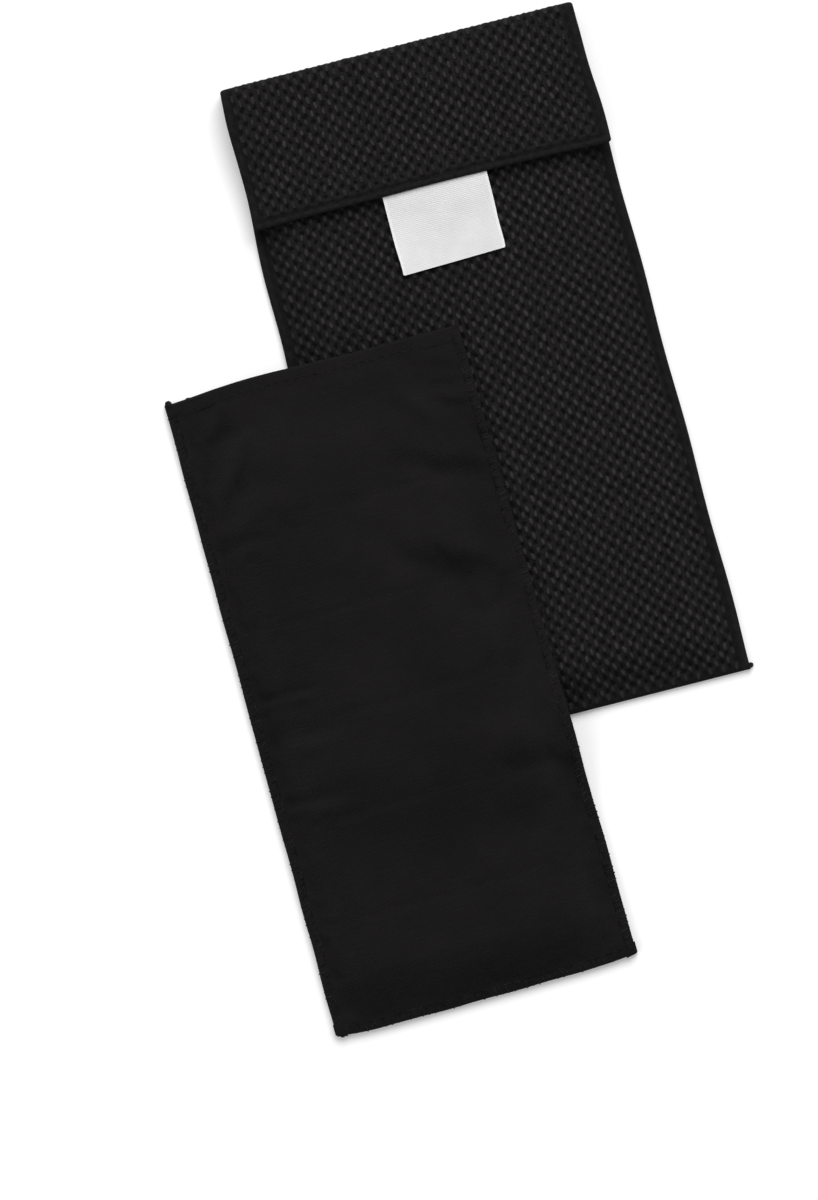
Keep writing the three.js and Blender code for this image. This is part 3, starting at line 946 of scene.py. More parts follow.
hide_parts("cover_back_panel")

# %% [markdown]
# ## Bound edges
#
# A hem or an overlocked edge is cloth or thread wrapped round the edge of other cloth. Its
# section is a U. `bound_edge` sweeps that U along a line: at each station it needs the middle of
# the edge, the direction into the cloth, and the direction up.

# %% Wrap an edge


def unit(vectors):
    return vectors / np.linalg.norm(vectors, axis=-1, keepdims=True)


def bound_edge(name, middle, inward, up, reach, half_thick, round_run, thick, material):
    turn = np.linspace(math.pi / 2, -math.pi / 2, 9)
    side = np.linspace(reach, round_run, 5)[:-1]
    run = np.concatenate([side, round_run * (1 - np.cos(turn)), side[::-1]])
    rise = np.concatenate([0 * side + 1, np.sin(turn), 0 * side - 1]) * half_thick
    outer = middle[:, None] + inward[:, None] * run[:, None] + up[:, None] * rise[:, None]
    if np.sum(face_normals(outer)[:, 1] * up) < 0:
        outer = outer[::-1]
    around = np.concatenate([[0], np.cumsum(np.hypot(np.diff(run), np.diff(rise)))])
    length = np.linalg.norm(np.diff(outer[:, 0], axis=0), axis=-1)
    along = np.concatenate([[0], np.cumsum(length)])
    flat = np.stack(np.broadcast_arrays(around[None, :], along[:, None]), -1)
    return make_sheet(name, outer, thick, flat, material)


# %% [markdown]
# Where a seam ends, its thread stands a little out of the corner. Without these thread ends the
# outline has corners as clean as a cut sheet of card.

# %% Thread ends at corners
EAR_RADIUS = 0.45 * MM
EAR_REACH = np.array([-2.0, -0.8, 0.1, 0.25, -0.2, -1.4]) * MM  # how far out of the corner its points lie
EAR_ASIDE = np.array([-0.3, -0.3, -0.25, 0.2, 0.35, 0.35]) * MM  # and how far to the side


def add_ear(name, corner, out, place, body, radius=EAR_RADIUS):
    """A thread that leaves a sewn corner, turns over and goes back in. place turns u, v into points."""
    across = corner[0] + out[0] * EAR_REACH - out[1] * EAR_ASIDE
    along = corner[1] + out[1] * EAR_REACH + out[0] * EAR_ASIDE
    path = place(across, along)
    up = np.tile([0.0, 0.0, 1.0], (len(path), 1))
    ear = grow(name, make_path(path, up), thread_tree, {"Radius": radius, "Steps": 16}, black_thread)
    carry(body, "overlock_thread", ear)
    return ear


def at_seam(x, y):
    return np.stack([x, y, 0 * x + seam_line], -1)


cover_corner = (foot_half + 0.2 * MM, cover_foot + 1.0 * MM)
cover_ear = add_ear("cover_ear_foot_right", cover_corner, (1.0, 0.05), at_seam, "cover")

# %% The hem of the cover's mouth
HEM_REACH = 3.2 * MM
HEM_SEWN = 2.4 * MM  # its stitches run this far from its edge
HEM_CLOTH = 0.3 * MM
mouth_sides = [side_edge(np.array([mouth]), sign) for sign in (-1, 1)]
hem_x = between_edges(*mouth_sides, ladder, MIDDLE_COLUMNS)[0][3:-3]
hem_y = 0 * hem_x + mouth
hem_top = front_height(hem_x, hem_y)
hem_up = unit(np.stack([-np.gradient(hem_top, hem_x), 0 * hem_x, 0 * hem_x + 1], -1))
hem_line = np.stack([hem_x, hem_y, hem_top], -1) - hem_up * MESH_THICK / 2
inward = np.tile([0.0, -1.0, 0.0], (len(hem_x), 1))
hem_half = MESH_THICK / 2 + 0.25 * MM
mouth_hem = bound_edge(
    "cover_mouth_binding", hem_line, inward, hem_up, HEM_REACH, hem_half, hem_half, HEM_CLOTH, mesh_ground)
sewn_line = hem_line + inward * HEM_SEWN + hem_up * (hem_half + 0.05 * MM)
mouth_stitches = sew("cover_mouth_stitches", sewn_line[2:-2], hem_up[2:-2], 31)
carry("cover", "rolled_mesh", mouth_hem)
carry("cover", "overlock_thread", mouth_stitches)
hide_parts("cover_mouth_hem")
declare_sheet(front_cloth, front_flat)
declare_sheet(back_cloth, back_flat)

# %% [markdown]
# ## The flap
#
# The flap is the same cloth going on: up the spine, over the top of the fold, and down over the
# front to a turned hem. Its path is drawn once from the side, with the hem turned back under,
# and then widened. The sides droop where nothing holds them up, and the lower edge wanders.

# %% The flap's path
HEM_ROUND = 0.8 * MM
HEM_TURN = 3.2 * MM
HEM_LIFT = 0.3 * MM
HEM_BEAD = 1.3 * MM  # the turned cloth stands up as a narrow bead along the edge
HEM_GROOVE = 0.2 * MM  # and the cloth beside it is drawn down by the stitches

upper_spine = np.linspace(spine_middle, flap_top - FOLD_ROUND, 4)
over = np.linspace(0, math.pi / 2, 9)[1:]
hem_start = flap_foot + 4 * HEM_BEAD
level_y = np.linspace(cover_head - FOLD_ROUND, hem_start, 30)[1:]
bead_y = np.linspace(hem_start, flap_foot + HEM_ROUND, 13)[1:]
flap_y = np.concatenate([level_y, bead_y])
flap_z = flap_top + HEM_LIFT * smooth(flap_y, flap_foot + 1.4 * HEM_BEAD, flap_foot + 0.8 * HEM_BEAD)
flap_z -= HEM_GROOVE * np.exp(-(((flap_y - flap_foot - 1.6 * HEM_BEAD) / (0.4 * HEM_BEAD)) ** 2))
turn_under = np.linspace(math.pi / 2, 1.5 * math.pi, 9)[1:]
under_y = np.linspace(flap_foot + HEM_ROUND, flap_foot + HEM_TURN, 4)[1:]
hem_level = flap_top + HEM_LIFT
spine_part = straight(cover_head, upper_spine, 1, 0)
over_part = arc(cover_head - FOLD_ROUND, flap_top - FOLD_ROUND, FOLD_ROUND, FOLD_ROUND, over)
top_part = straight(flap_y, flap_z, 0, 1)
turn_part = arc(flap_foot + HEM_ROUND, hem_level - HEM_ROUND, HEM_ROUND, HEM_ROUND, turn_under)
under_part = straight(under_y, hem_level - 2 * HEM_ROUND, 0, -1)
flap_path = np.concatenate([spine_part, over_part, top_part, turn_part, under_part])
flap_run = back_run[-1] + run_length(flap_path)
shown_rows = len(spine_part) + len(over_part) + len(top_part)
print("flap path", len(flap_path), "points,", round((flap_run[-1] - flap_run[0]) / MM, 1), "mm")

# %% The flap cloth
FLAP_EDGE = 1.3 * MM
FLAP_INSET = 0.75 * MM
FLAP_BOW = 0.6 * MM  # the flap's lower edge is bowed, and shortest in the middle
FLAP_PRESSED = 7 * MM  # it is pressed on all sides, so its grains are flatter further in, and darker partly as painted shade
FLAP_WANDER = 0.2 * MM
FLAP_SWAY = 0.15 * MM
FLAP_STRAY = 0.1 * MM
FLAP_THIN = 0.7 * MM  # its cloth is thinner along the pressed edges
END_KEPT = 0.8 * MM  # its grains run on this much nearer to the hem's edge than to the sides
BEND_KEPT = 1.7 * MM  # and this much nearer to where the fold bends
SAG_LEFT = 2.4 * MM  # it droops at the sides, more so on the left
SAG_RIGHT = 1.7 * MM
SAG_RUN = 16 * MM


def flap_edge(y, sign):
    flare = flap_flare * (cover_head - y) / flap_depth * (sign > 0)
    wander = FLAP_WANDER * uneven(y, sign * 0.3 + 0 * y, 24 * MM, 7) * smooth(cover_head - y, 0, 10 * MM)
    return sign * (cover_half(y) + flare) + wander + side_edge(y, sign) - sign * cover_half(y)


def flap_shape(x, y):
    """How far the flap leaves its plane: it droops at the sides and sways along the lower edge."""
    inside = np.minimum(x - flap_edge(y, -1), flap_edge(y, 1) - x)
    away = cover_head - y
    sag = np.where(x < 0, SAG_LEFT, SAG_RIGHT)
    droop = sag * (1 - smooth(inside, 0, SAG_RUN)) * smooth(away, 5 * MM, 32 * MM)
    sway = FLAP_SWAY * (uneven(x, 0.5 * y, 46 * MM, 13) - 1) * smooth(away, 8 * MM, 30 * MM)
    return sway - droop


path_y = flap_path[:, 0]
left = flap_edge(path_y, -1)
right = flap_edge(path_y, 1)
flap_ladder = edge_ladder(FLAP_EDGE, 4 * MM, 15 * MM)
flap_x = between_edges(left, right, flap_ladder, MIDDLE_COLUMNS)[:, ::-1]
inside = np.minimum(flap_x - left[:, None], right[:, None] - flap_x)
rows_y = np.broadcast_to(path_y[:, None], flap_x.shape)
inset = FLAP_INSET * (1 - rolled(inside, FLAP_EDGE))
bow = FLAP_BOW * (1.3 - (flap_x / head_half) ** 2)
stray = FLAP_STRAY * uneven(flap_x, 0 * flap_x, 33 * MM, 17) + bow
stray = stray * smooth(cover_head - rows_y, 12 * MM, flap_depth)
flap_points = np.stack([
    flap_x,
    rows_y - flap_path[:, 2:3] * inset + stray,
    flap_path[:, 1:2] - flap_path[:, 3:4] * inset + flap_shape(flap_x, rows_y),
], -1)
flap_flat = np.stack([flap_x, np.broadcast_to(flap_run[:, None], flap_x.shape)], -1)
to_end = (flap_run[shown_rows - 1] - flap_run)[:, None]
from_fold = np.abs(flap_run - flap_run[len(spine_part)])[:, None]
flap_inside = np.minimum(np.minimum(inside, to_end + END_KEPT), from_fold + BEND_KEPT)
full = flap_top - flap_under
flap_thick = FLAP_THIN + (full - FLAP_THIN) * smooth(flap_inside, 2 * MM, 6 * MM)
flap_cloth = make_sheet("flap_cloth", flap_points, flap_thick, flap_flat, mesh_ground, flap_inside)
flap_grains = grow_grains("flap_grains", flap_cloth, flap_flat, 23, FLAP_PRESSED)

# %% Stitches of the flap's hem, and its bodies
SEWN_COLUMNS = {"right": 11, "left": -12}  # columns of points along the sewn lines of the sides
across_part = slice(14, -14)
lower_row = int(np.argmin(np.abs(path_y[:shown_rows] - (flap_foot + 1.6 * HEM_BEAD))))
flap_up = face_normals(flap_points)
lower_line = flap_points[lower_row, across_part]
flap_stitches = [sew("flap_hem_stitches_lower", lower_line, flap_up[lower_row, across_part], 32)]
rows = slice(len(spine_part) + len(over_part), lower_row)
for name, column in SEWN_COLUMNS.items():
    line = flap_points[rows, column]
    flap_stitches.append(sew("flap_hem_stitches_" + name, line, flap_up[rows, column], 33 + column))
bend_start = (0, cover_head, flap_top - BLEND_RUN)
bend_end = (0, cover_head - BLEND_RUN, flap_top)
for piece in (flap_cloth, flap_grains):
    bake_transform(piece, "fold", "flap", start=bend_start, end=bend_end)
carry("flap", "overlock_thread", *flap_stitches)
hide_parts("flap_panel", "flap_hem", "flap_fold")
declare_sheet(flap_cloth, flap_flat)

# %% [markdown]
# ## The tag
#
# The tag is a piece of white satin, caught in the stitching of the flap's hem. It leaves the hem
# level with it and sinks to lie on the front. It is left bare. A little curl at its free corners
# and the tighter weave along its two sides keep it from looking like a card.

# %% The tag's sheet
TAG_THICK = 0.5 * MM
TAG_SAG_RUN = 14 * MM
TAG_CORNER = 0.5 * MM
TAG_CURL_LEFT = 0.7 * MM
TAG_CURL_RIGHT = 0.35 * MM
TAG_RIPPLE = 0.12 * MM
TAG_WAIST = 0.15 * MM
TAG_ASKEW = 0.8 * MM  # its lower left corner hangs this much lower
corner_steps = np.linspace(0, TAG_CORNER, 5)
tag_x = between_edges(np.array([-tag_half]), np.array([tag_half]), corner_steps, 20)[0]
tag_y = np.concatenate([tag_low.y + corner_steps, np.linspace(tag_low.y + TAG_CORNER, tag_high.y, 28)[1:]])
grid_x, grid_y = np.meshgrid(tag_x, tag_y)
aside = np.clip((np.abs(grid_x) - tag_half) / TAG_CORNER + 1, 0, 1)
ahead = np.clip((tag_low.y - grid_y) / TAG_CORNER + 1, 0, 1)
grid_x = grid_x - np.sign(grid_x) * TAG_CORNER * aside * (1 - np.sqrt(1 - ahead**2 / 2))
grid_y = grid_y + TAG_CORNER * ahead * (1 - np.sqrt(1 - aside**2 / 2))
lying = low("label_tag").z + TAG_THICK
tucked = tag_high.z
sunk = smooth(flap_foot - grid_y, 0, TAG_SAG_RUN)
free = smooth(flap_foot - grid_y, 4 * MM, flap_foot - tag_low.y)
left_curl = TAG_CURL_LEFT * smooth(-grid_x, 0, tag_half) * free
right_curl = TAG_CURL_RIGHT * smooth(grid_x, 0.2 * tag_half, tag_half) * free
curl = left_curl + right_curl
ripple = TAG_RIPPLE * uneven(grid_x, grid_y, 16 * MM, 19)
tag_z = tucked + (lying - tucked) * sunk + curl + ripple * sunk
waist = TAG_WAIST * uneven(grid_y, 0 * grid_y, 12 * MM, 29)
askew = TAG_ASKEW * (1 - grid_x / tag_half) / 2 * free
tag_points = np.stack([tag_middle + grid_x + waist + askew / 2, grid_y - askew, tag_z], -1)
tag_flat = np.stack([grid_x, grid_y - tag_low.y], -1)
tag = make_sheet("tag_sheet", tag_points, TAG_THICK, tag_flat, white_satin)
carry("flap", "tag_satin", tag)
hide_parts("label_tag")
declare_sheet(tag, tag_flat)

# %% [markdown]
# ## The closure
#
# Under the flap a strip of hooks meets a strip of loops. Each strip is a woven tape with rounded
# corners. The loops are arched threads strewn over the tape, and the hooks are bent bristles in
# rows. Both are grown by Geometry Nodes.

# %% Tapes
TAPE_CORNER = 2 * MM
TAPE_EDGE = 0.12 * MM


def make_tape(name, node, base, face, body):
    """A tape with rounded corners, between the heights base and face."""
    start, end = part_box(node)
    turn = np.linspace(0, math.pi / 2, 6)
    middle = np.array([(start.x + end.x) / 2, (start.y + end.y) / 2])
    half = np.array([(end.x - start.x) / 2, (end.y - start.y) / 2])
    quarter = half - TAPE_CORNER + TAPE_CORNER * np.stack([np.cos(turn), np.sin(turn)], -1)
    ring = np.concatenate([
        quarter, (quarter * [-1, 1])[::-1], quarter * [-1, -1], (quarter * [1, -1])[::-1],
    ])
    shares = [1.0, 1.0, 0.985, 0.5, 0.02]
    levels = [base, face - TAPE_EDGE, face, face, face]
    points = []
    for share, level in zip(shares, levels):
        points.append(np.column_stack([middle + ring * share, 0 * ring[:, 0] + level]))
    index = np.arange(len(shares) * len(ring)).reshape(len(shares), len(ring))
    after = np.roll(index, -1, axis=1)
    sides = np.stack([index[:-1], after[:-1], after[1:], index[1:]], -1).reshape(-1, 4)
    faces = [*sides.tolist(), index[-1].tolist(), index[0, ::-1].tolist()]
    if face < base:
        faces = [corner[::-1] for corner in faces]
    tape_mesh = bpy.data.meshes.new(name)
    tape_mesh.from_pydata(np.concatenate(points).tolist(), [], faces)
    tape = add_piece(name, tape_mesh, black_nylon)
    carry(body, "closure_nylon", tape)
    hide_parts(node)
    print(name, [round(2 * side / MM, 1) for side in half], "mm")
    return tape


loop_low, loop_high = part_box("closure_loop_strip")
hook_low, hook_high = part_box("closure_hook_strip")
loop_face = loop_low.z + 0.2 * MM
hook_face = hook_high.z - 0.1 * MM
loop_tape = make_tape("closure_loop_tape", "closure_loop_strip", front_top - GRAIN_RISE, loop_face, "cover")
hook_tape = make_tape("closure_hook_tape", "closure_hook_strip", flap_under, hook_face, "flap")

# %% Tree of closure bristles: loops or hooks on a grid


def make_bristle_tree():
    sizes = {
        "Columns": "Int", "Rows": "Int", "Width": "Float", "Length": "Float", "Middle": "Vector",
        "Tip": "Vector", "Shoulder": "Vector", "Radius": "Float", "Stray": "Float", "Spin": "Float",
        "Seed": "Int",
    }
    tree, given = start_tree("closure_bristles", sizes)
    grid = tree.add("GeometryNodeMeshGrid", {}, {
        "Size X": given["Width"], "Size Y": given["Length"],
        "Vertices X": given["Columns"], "Vertices Y": given["Rows"],
    })
    stray_x = random_value(tree, -1.0, 1.0, given["Seed"]) * given["Stray"]
    stray_y = random_value(tree, -1.0, 1.0, given["Seed"] + 1) * given["Stray"]
    offset = tree.vector("ADD", given["Middle"], tree.combine(X=stray_x, Y=stray_y))
    strewn = tree.add("GeometryNodeSetPosition", {}, {"Geometry": grid, "Offset": offset})
    shape = tree.add("GeometryNodeCurvePrimitiveBezierSegment", {}, {
        "Resolution": 6, "Start": (0, 0, 0), "Start Handle": given["Shoulder"],
        "End Handle": tree.vector("ADD", given["Tip"], given["Shoulder"]), "End": given["Tip"],
    })
    spin = random_value(tree, -1.0, 1.0, given["Seed"] + 2) * given["Spin"]
    bristles = tree.add("GeometryNodeInstanceOnPoints", {}, {
        "Points": strewn, "Instance": thread_shape(tree, shape, given["Radius"], 4),
        "Rotation": tree.spin(Z=spin),
    })
    return end_tree(tree, given, bristles)


bristle_tree = make_bristle_tree()
loop_rise = loop_high.z - loop_face
hook_drop = hook_face - hook_low.z
loop_pile = grow("closure_loop_pile", loop_tape.data, bristle_tree, {
    "Columns": 54, "Rows": 11, "Width": loop_high.x - loop_low.x - 3 * MM,
    "Length": loop_high.y - loop_low.y - 3 * MM,
    "Middle": (0, (loop_low.y + loop_high.y) / 2, loop_face), "Tip": (0.9 * MM, 0, 0),
    "Shoulder": (0, 0, loop_rise), "Radius": 0.07 * MM, "Stray": 0.5 * MM, "Spin": math.pi, "Seed": 41,
}, black_nylon)
hook_bristles = grow("closure_hooks", hook_tape.data, bristle_tree, {
    "Columns": 40, "Rows": 8, "Width": hook_high.x - hook_low.x - 4 * MM,
    "Length": hook_high.y - hook_low.y - 4 * MM,
    "Middle": (0, (hook_low.y + hook_high.y) / 2, hook_face), "Tip": (0.55 * MM, 0, -0.4 * hook_drop),
    "Shoulder": (0, 0, -1.0 * hook_drop), "Radius": 0.1 * MM, "Stray": 0.05 * MM, "Spin": 0.15, "Seed": 42,
}, black_nylon)
carry("cover", "closure_nylon", loop_pile)
carry("flap", "closure_nylon", hook_bristles)

# %% [markdown]
# ## How the pouch lies
#
# The pouch lies askew, partly on the cover and partly down on the table. The rules below are the
# ones its CAD solids were made by: the height of its underside, how far its walls stand apart,
# and how its crystals crown each channel. Only the slight bow of its mouth and foot is added
# here. u runs across the pouch, and v along it.

# %% Corners and rules of the pouch
POUCH_SEAM = 3 * MM
POUCH_HEM = 4 * MM
POUCH_SHOULDER = 12 * MM
POUCH_ROOM = 4.8 * MM
PLY = 0.45 * MM
GAP = 0.25 * MM
BED = 1.4 * MM
CHANNELS = 6
DRAPE_RUN = 30 * MM
COVER_SEAM = 3 * MM
MOUTH_BAND = 6.5 * MM  # plain band between the mouth's hem and the first channel
MOUTH_BOW = 1.1 * MM  # the mouth's edge is slightly bowed
BOW_MIDDLE = -0.42  # the bow's place and half width, as shares of the pouch's half width
BOW_HALF = 0.45
FOOT_BOW = 1.2 * MM  # and the foot is drawn in at its corners


def far_corner(node, x, y):
    """The corner of a node that lies furthest in a direction."""
    points = [vertex.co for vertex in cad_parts[node].data.vertices]
    corner = max(points, key=lambda point: point.x * x + point.y * y)
    return np.array([corner.x, corner.y])


top_left = far_corner("pouch_left_seam", -1, 1)
foot_left = far_corner("pouch_left_seam", -1, -1)
top_right = far_corner("pouch_right_seam", 1, 1)
foot_right = far_corner("pouch_right_seam", 1, -1)
pouch_half = np.linalg.norm(foot_right - foot_left) / 2
pouch_head = np.linalg.norm(top_left + top_right - foot_left - foot_right) / 4
ply_half = pouch_half - POUCH_SEAM - GAP
ply_foot = -pouch_head + POUCH_SEAM + GAP
ply_head = pouch_head - POUCH_HEM - GAP
channel_head = ply_head - MOUTH_BAND
channel_pitch = (channel_head - ply_foot) / CHANNELS


def on_table(u, v):
    """The place of a point of the pouch on the table, as x and y."""
    bowed = np.exp(-(((u / pouch_half - BOW_MIDDLE) / BOW_HALF) ** 2))
    drawn_in = (u / pouch_half) ** 8
    v = v + MOUTH_BOW * bowed * smooth(v, 0, pouch_head) + FOOT_BOW * drawn_in * smooth(-v, 0, pouch_head)
    s = (u / pouch_half + 1) / 2
    t = (v / pouch_head + 1) / 2
    places = []
    for axis in (0, 1):
        foot = foot_left[axis] + (foot_right[axis] - foot_left[axis]) * s
        top = top_left[axis] + (top_right[axis] - top_left[axis]) * s
        places.append(foot + (top - foot) * t)
    return places


def drape(u, v):
    x, y = on_table(u, v)
    beside_cover = smooth(x + cover_half(y), -DRAPE_RUN, COVER_SEAM)
    below_cover = smooth(y - cover_foot, -DRAPE_RUN, COVER_SEAM)
    return (front_top + GAP) * beside_cover * below_cover


def opened(u, v):
    """0 along the sewn edges, and 1 where the walls stand apart."""
    return smooth(ply_half - np.abs(u), 0, POUCH_SHOULDER) * smooth(v - ply_foot, 0, POUCH_SHOULDER)


def filled(u, v):
    """0 where the plies of a wall lie together, and 1 where crystals fill it."""
    return opened(u, v) * smooth(channel_head - v, 0, POUCH_SHOULDER)


def crown(v):
    place = (np.minimum(v, channel_head) - ply_foot) / channel_pitch
    from_middle = 2 * (place - np.floor(place)) - 1
    return np.sqrt(np.clip(1 - from_middle**2, 0, 1))


print("pouch", round(2 * pouch_half / MM, 1), "by", round(2 * pouch_head / MM, 1), "mm")

# %% The levels of its plies
SEWN_FLAT = 2 * PLY + 3 * GAP


def back_lining_top(u, v):
    return drape(u, v) + 2 * PLY + 2 * GAP + BED * filled(u, v)


def front_lining_under(u, v):
    return drape(u, v) + SEWN_FLAT + (BED + POUCH_ROOM - GAP) * opened(u, v)


def front_cloth_top(u, v):
    return front_lining_under(u, v) + 2 * PLY + 2 * GAP + BED * crown(v) * filled(u, v)


def pouch_grid(columns, rows, height):
    """A grid of points over the pouch at a height, and their places on the cut cloth."""
    u, v = np.meshgrid(columns, rows)
    x, y = on_table(u, v)
    return np.stack([x, y, height(u, v)], -1), np.stack([u, v], -1)


cad_top = high("pouch_front_cloth").z
sample_u, sample_v = np.meshgrid(np.linspace(-ply_half, ply_half, 60), np.linspace(ply_foot, ply_head, 240))
print("top of the pouch by rule and in CAD, mm:", round(front_cloth_top(sample_u, sample_v).max() / MM, 2),
      round(cad_top / MM, 2))

# %% [markdown]
# ## The front wall
#
# The wall is thin cloth over crystals that have shifted, so its channels hardly show. What shows
# are a few creases that run in from the overlocked edges. Each crease is a valley with a ridge
# beside it, given by its two ends. Noise would spread such folds evenly, and the real ones are
# few and start at the edges.

# %% Creases of the wall
CREASES = {  # ends across and down from the pouch's upper left corner, half width and depth, in mm
    "upper right": ((80, 42.2), (52, 29.5), 3.0, 1.1),
    "upper right, long": ((76.6, 77.9), (42, 48.2), 5.5, 2.2),
    "right": ((81, 123.5), (56, 115), 4.0, 1.4),
    "upper left": ((1, 41.3), (23, 41.8), 1.6, 0.5),
    "upper left, wide": ((27, 35), (8, 35.5), 4.5, -0.9),
    "left, sharp": ((4, 83.6), (25, 84.2), 1.0, 0.8),
    "left, soft": ((2, 95.2), (28, 95), 2.0, 0.7),
    "lower left": ((2, 112.3), (26, 112.5), 1.6, 0.8),
    "mouth, first": ((14.5, 4), (8, 17), 2.2, -0.9),
    "mouth, second": ((20.5, 15), (5, 33), 2.8, -1.6),
    "mouth, third": ((0, 38.3), (20, 37.5), 2.4, -0.6),
    "mouth, right": ((77, 36), (60, 4), 2.6, -1.3),
    "mouth, pucker": ((80, 12), (70, 6.5), 1.2, 0.6),
    "mouth, second pucker": ((80, 15.5), (71, 13.5), 1.2, 0.5),
    "mouth, third pucker": ((81, 22), (70, 18.5), 1.4, 0.7),
    "foot, left": ((8.5, 168), (6.2, 125), 1.8, -0.8),
    "foot, right": ((74, 162), (76, 130), 1.8, -0.7),
}


def creased(u, v):
    """How much the creases raise or lower the wall."""
    across = (u + pouch_half) / MM
    down = (pouch_head - v) / MM
    total = 0 * u
    for (start_a, start_d), (end_a, end_d), half, depth in CREASES.values():
        run = math.hypot(end_a - start_a, end_d - start_d)
        way_a = (end_a - start_a) / run
        way_d = (end_d - start_d) / run
        along = ((across - start_a) * way_a + (down - start_d) * way_d) / run
        beside = (across - start_a) * way_d - (down - start_d) * way_a
        beside = beside + half * 0.3 * uneven(across, down, 15, 53)
        lasting = smooth(along, -0.12, 0.1) * (1 - smooth(along, 0.45, 1.05))
        valley = np.exp(-((beside / half) ** 2)) - 0.7 * np.exp(-((beside / half + 2) ** 2))
        total = total - depth * MM * valley * lasting
    return total


# %% The wall's height
SOFT_SEAM = 0.3  # share of the channels' height that is left at their seams
STACK = SEWN_FLAT + 2 * PLY + 2 * GAP
ROLL = 2.6 * MM  # the overlocked edge is rolled over this far
ROLL_DIP = 0.35 * MM  # and lies this much below the wall beside it
FILL_UNEVEN = 0.16
EDGE_PUCKER = 0.24 * MM


def off_edge(edge):
    """0 in the overlocked edge, and 1 a little inside it."""
    return smooth(edge, ROLL * 0.7, ROLL * 1.8)


def wall_face(u, v):
    edge = np.minimum(pouch_half - np.abs(u), v + pouch_head)
    seam = (1 - crown(v)) ** 3 * (0.03 + 0.2 * (1 - smooth(edge, 5 * MM, 22 * MM)))
    fill = BED * filled(u, v) * (1 - (1 - SOFT_SEAM) * seam)
    fill = fill * (1 + FILL_UNEVEN * uneven(u, v, 38 * MM, 57))
    near_edge = 1 - smooth(edge, 3 * MM, 11 * MM)
    pucker = EDGE_PUCKER * uneven(u + 0.4 * v, v, 7 * MM, 55) * near_edge * off_edge(edge)
    roll = ROLL_DIP * (1 - smooth(edge, ROLL, 2.5 * ROLL)) + (STACK / 2 - ROLL_DIP) * (1 - rolled(edge, ROLL))
    plies = front_lining_under(u, v) + 2 * PLY + 2 * GAP
    return plies + fill + pucker + creased(u, v) * off_edge(edge) - roll


print("wall: highest", round(wall_face(sample_u, sample_v).max() / MM, 2), "mm,", len(CREASES), "creases")

# %% [markdown]
# ## Settled by simulation
#
# Sewn cloth is slack between its seams, and pulls towards them. So the grid is let go as a cloth
# for twenty frames: it is held along the seams and the edges, made a little too large, and
# pressed up softly by what fills the channels. How far a point may move is capped.

# %% Let a grid of cloth settle
SIM_SCALE = 20  # cloth settings behave best on objects of about a metre
SIM_FRAMES = 20
SIM_SETTINGS = {
    "quality": 6, "mass": 0.2, "tension_stiffness": 12, "compression_stiffness": 12, "shear_stiffness": 4,
    "bending_stiffness": 0.4, "vertex_group_mass": "held", "use_pressure": True,
}


def settle(points, held, pressure, slack, cap):
    """Points of a grid of cloth after a simulation, none of them moved further than cap."""
    index, faces = grid_faces(*points.shape[:2])
    mesh = bpy.data.meshes.new("settling")
    mesh.from_pydata((points.reshape(-1, 3) * SIM_SCALE).tolist(), [], faces.tolist())
    cloth = add_piece("settling", mesh, black_cotton)
    group = cloth.vertex_groups.new(name="held")
    group.add([int(k) for k in index[held]], 1.0, "REPLACE")
    modifier = cloth.modifiers.new("settle", "CLOTH")
    for title, value in SIM_SETTINGS.items():
        setattr(modifier.settings, title, value)
    modifier.settings.shrink_min = -slack
    modifier.settings.uniform_pressure_force = pressure
    modifier.settings.effector_weights.gravity = 0
    modifier.point_cache.frame_start = 1
    modifier.point_cache.frame_end = SIM_FRAMES
    for step in range(1, SIM_FRAMES + 1):
        bpy.context.scene.frame_set(step)
    graph = bpy.context.evaluated_depsgraph_get()
    settled = np.array([vertex.co for vertex in cloth.evaluated_get(graph).data.vertices]) / SIM_SCALE
    bpy.data.objects.remove(cloth)
    bpy.context.scene.frame_set(1)
    move = settled.reshape(points.shape) - points
    far = np.linalg.norm(move, axis=-1, keepdims=True)
    print("settled: moved", round(far.mean() / MM, 2), "mm on average, at most", round(far.max() / MM, 2))
    return points + move * np.minimum(1, cap / np.maximum(far, 1e-9))


# %% The front cloth of the pouch
ROWS_PER_CHANNEL = 28
EDGE_TUCK = 0.9 * MM  # the cloth ends this far inside the hem, and the other plies inside every edge
SLACK_LIFT = 0.1 * MM
last_row = CHANNELS * ROWS_PER_CHANNEL

edge_steps = ROLL * (1 - np.cos(np.linspace(0.5, math.pi / 2, 6)))
edge_columns = pouch_half - edge_steps[::-1]
wall_columns = np.concatenate([-edge_columns[::-1], np.linspace(-ply_half, ply_half, 91), edge_columns])
channel_rows = np.linspace(ply_foot, channel_head, last_row + 1)
foot_rows = -pouch_head + edge_steps
head_rows = np.linspace(channel_head, pouch_head - EDGE_TUCK, 10)[1:]
wall_rows = np.concatenate([foot_rows, channel_rows, head_rows])
wall_points, wall_flat = pouch_grid(wall_columns, wall_rows, wall_face)
row_number = np.arange(len(wall_rows)) - len(foot_rows)
on_seam = (row_number % ROWS_PER_CHANNEL == 0) & (row_number > 0) & (row_number < last_row)
off_channels = (row_number <= 0) | (row_number >= last_row + 6)
held = np.zeros(wall_points.shape[:2], dtype=bool)
held[on_seam | off_channels] = True
held[:, :len(edge_steps) + 1] = True
held[:, -len(edge_steps) - 1:] = True
start = wall_points.copy()
start[..., 2] += SLACK_LIFT * uneven(wall_flat[..., 0], wall_flat[..., 1], 16 * MM, 51) * ~held
start = settle(start, held, pressure=0.2, slack=0.005, cap=0.3 * MM)
wall_cloth = make_sheet("pouch_front_wall", start, PLY, wall_flat, black_cotton)
wall_up = face_normals(start)
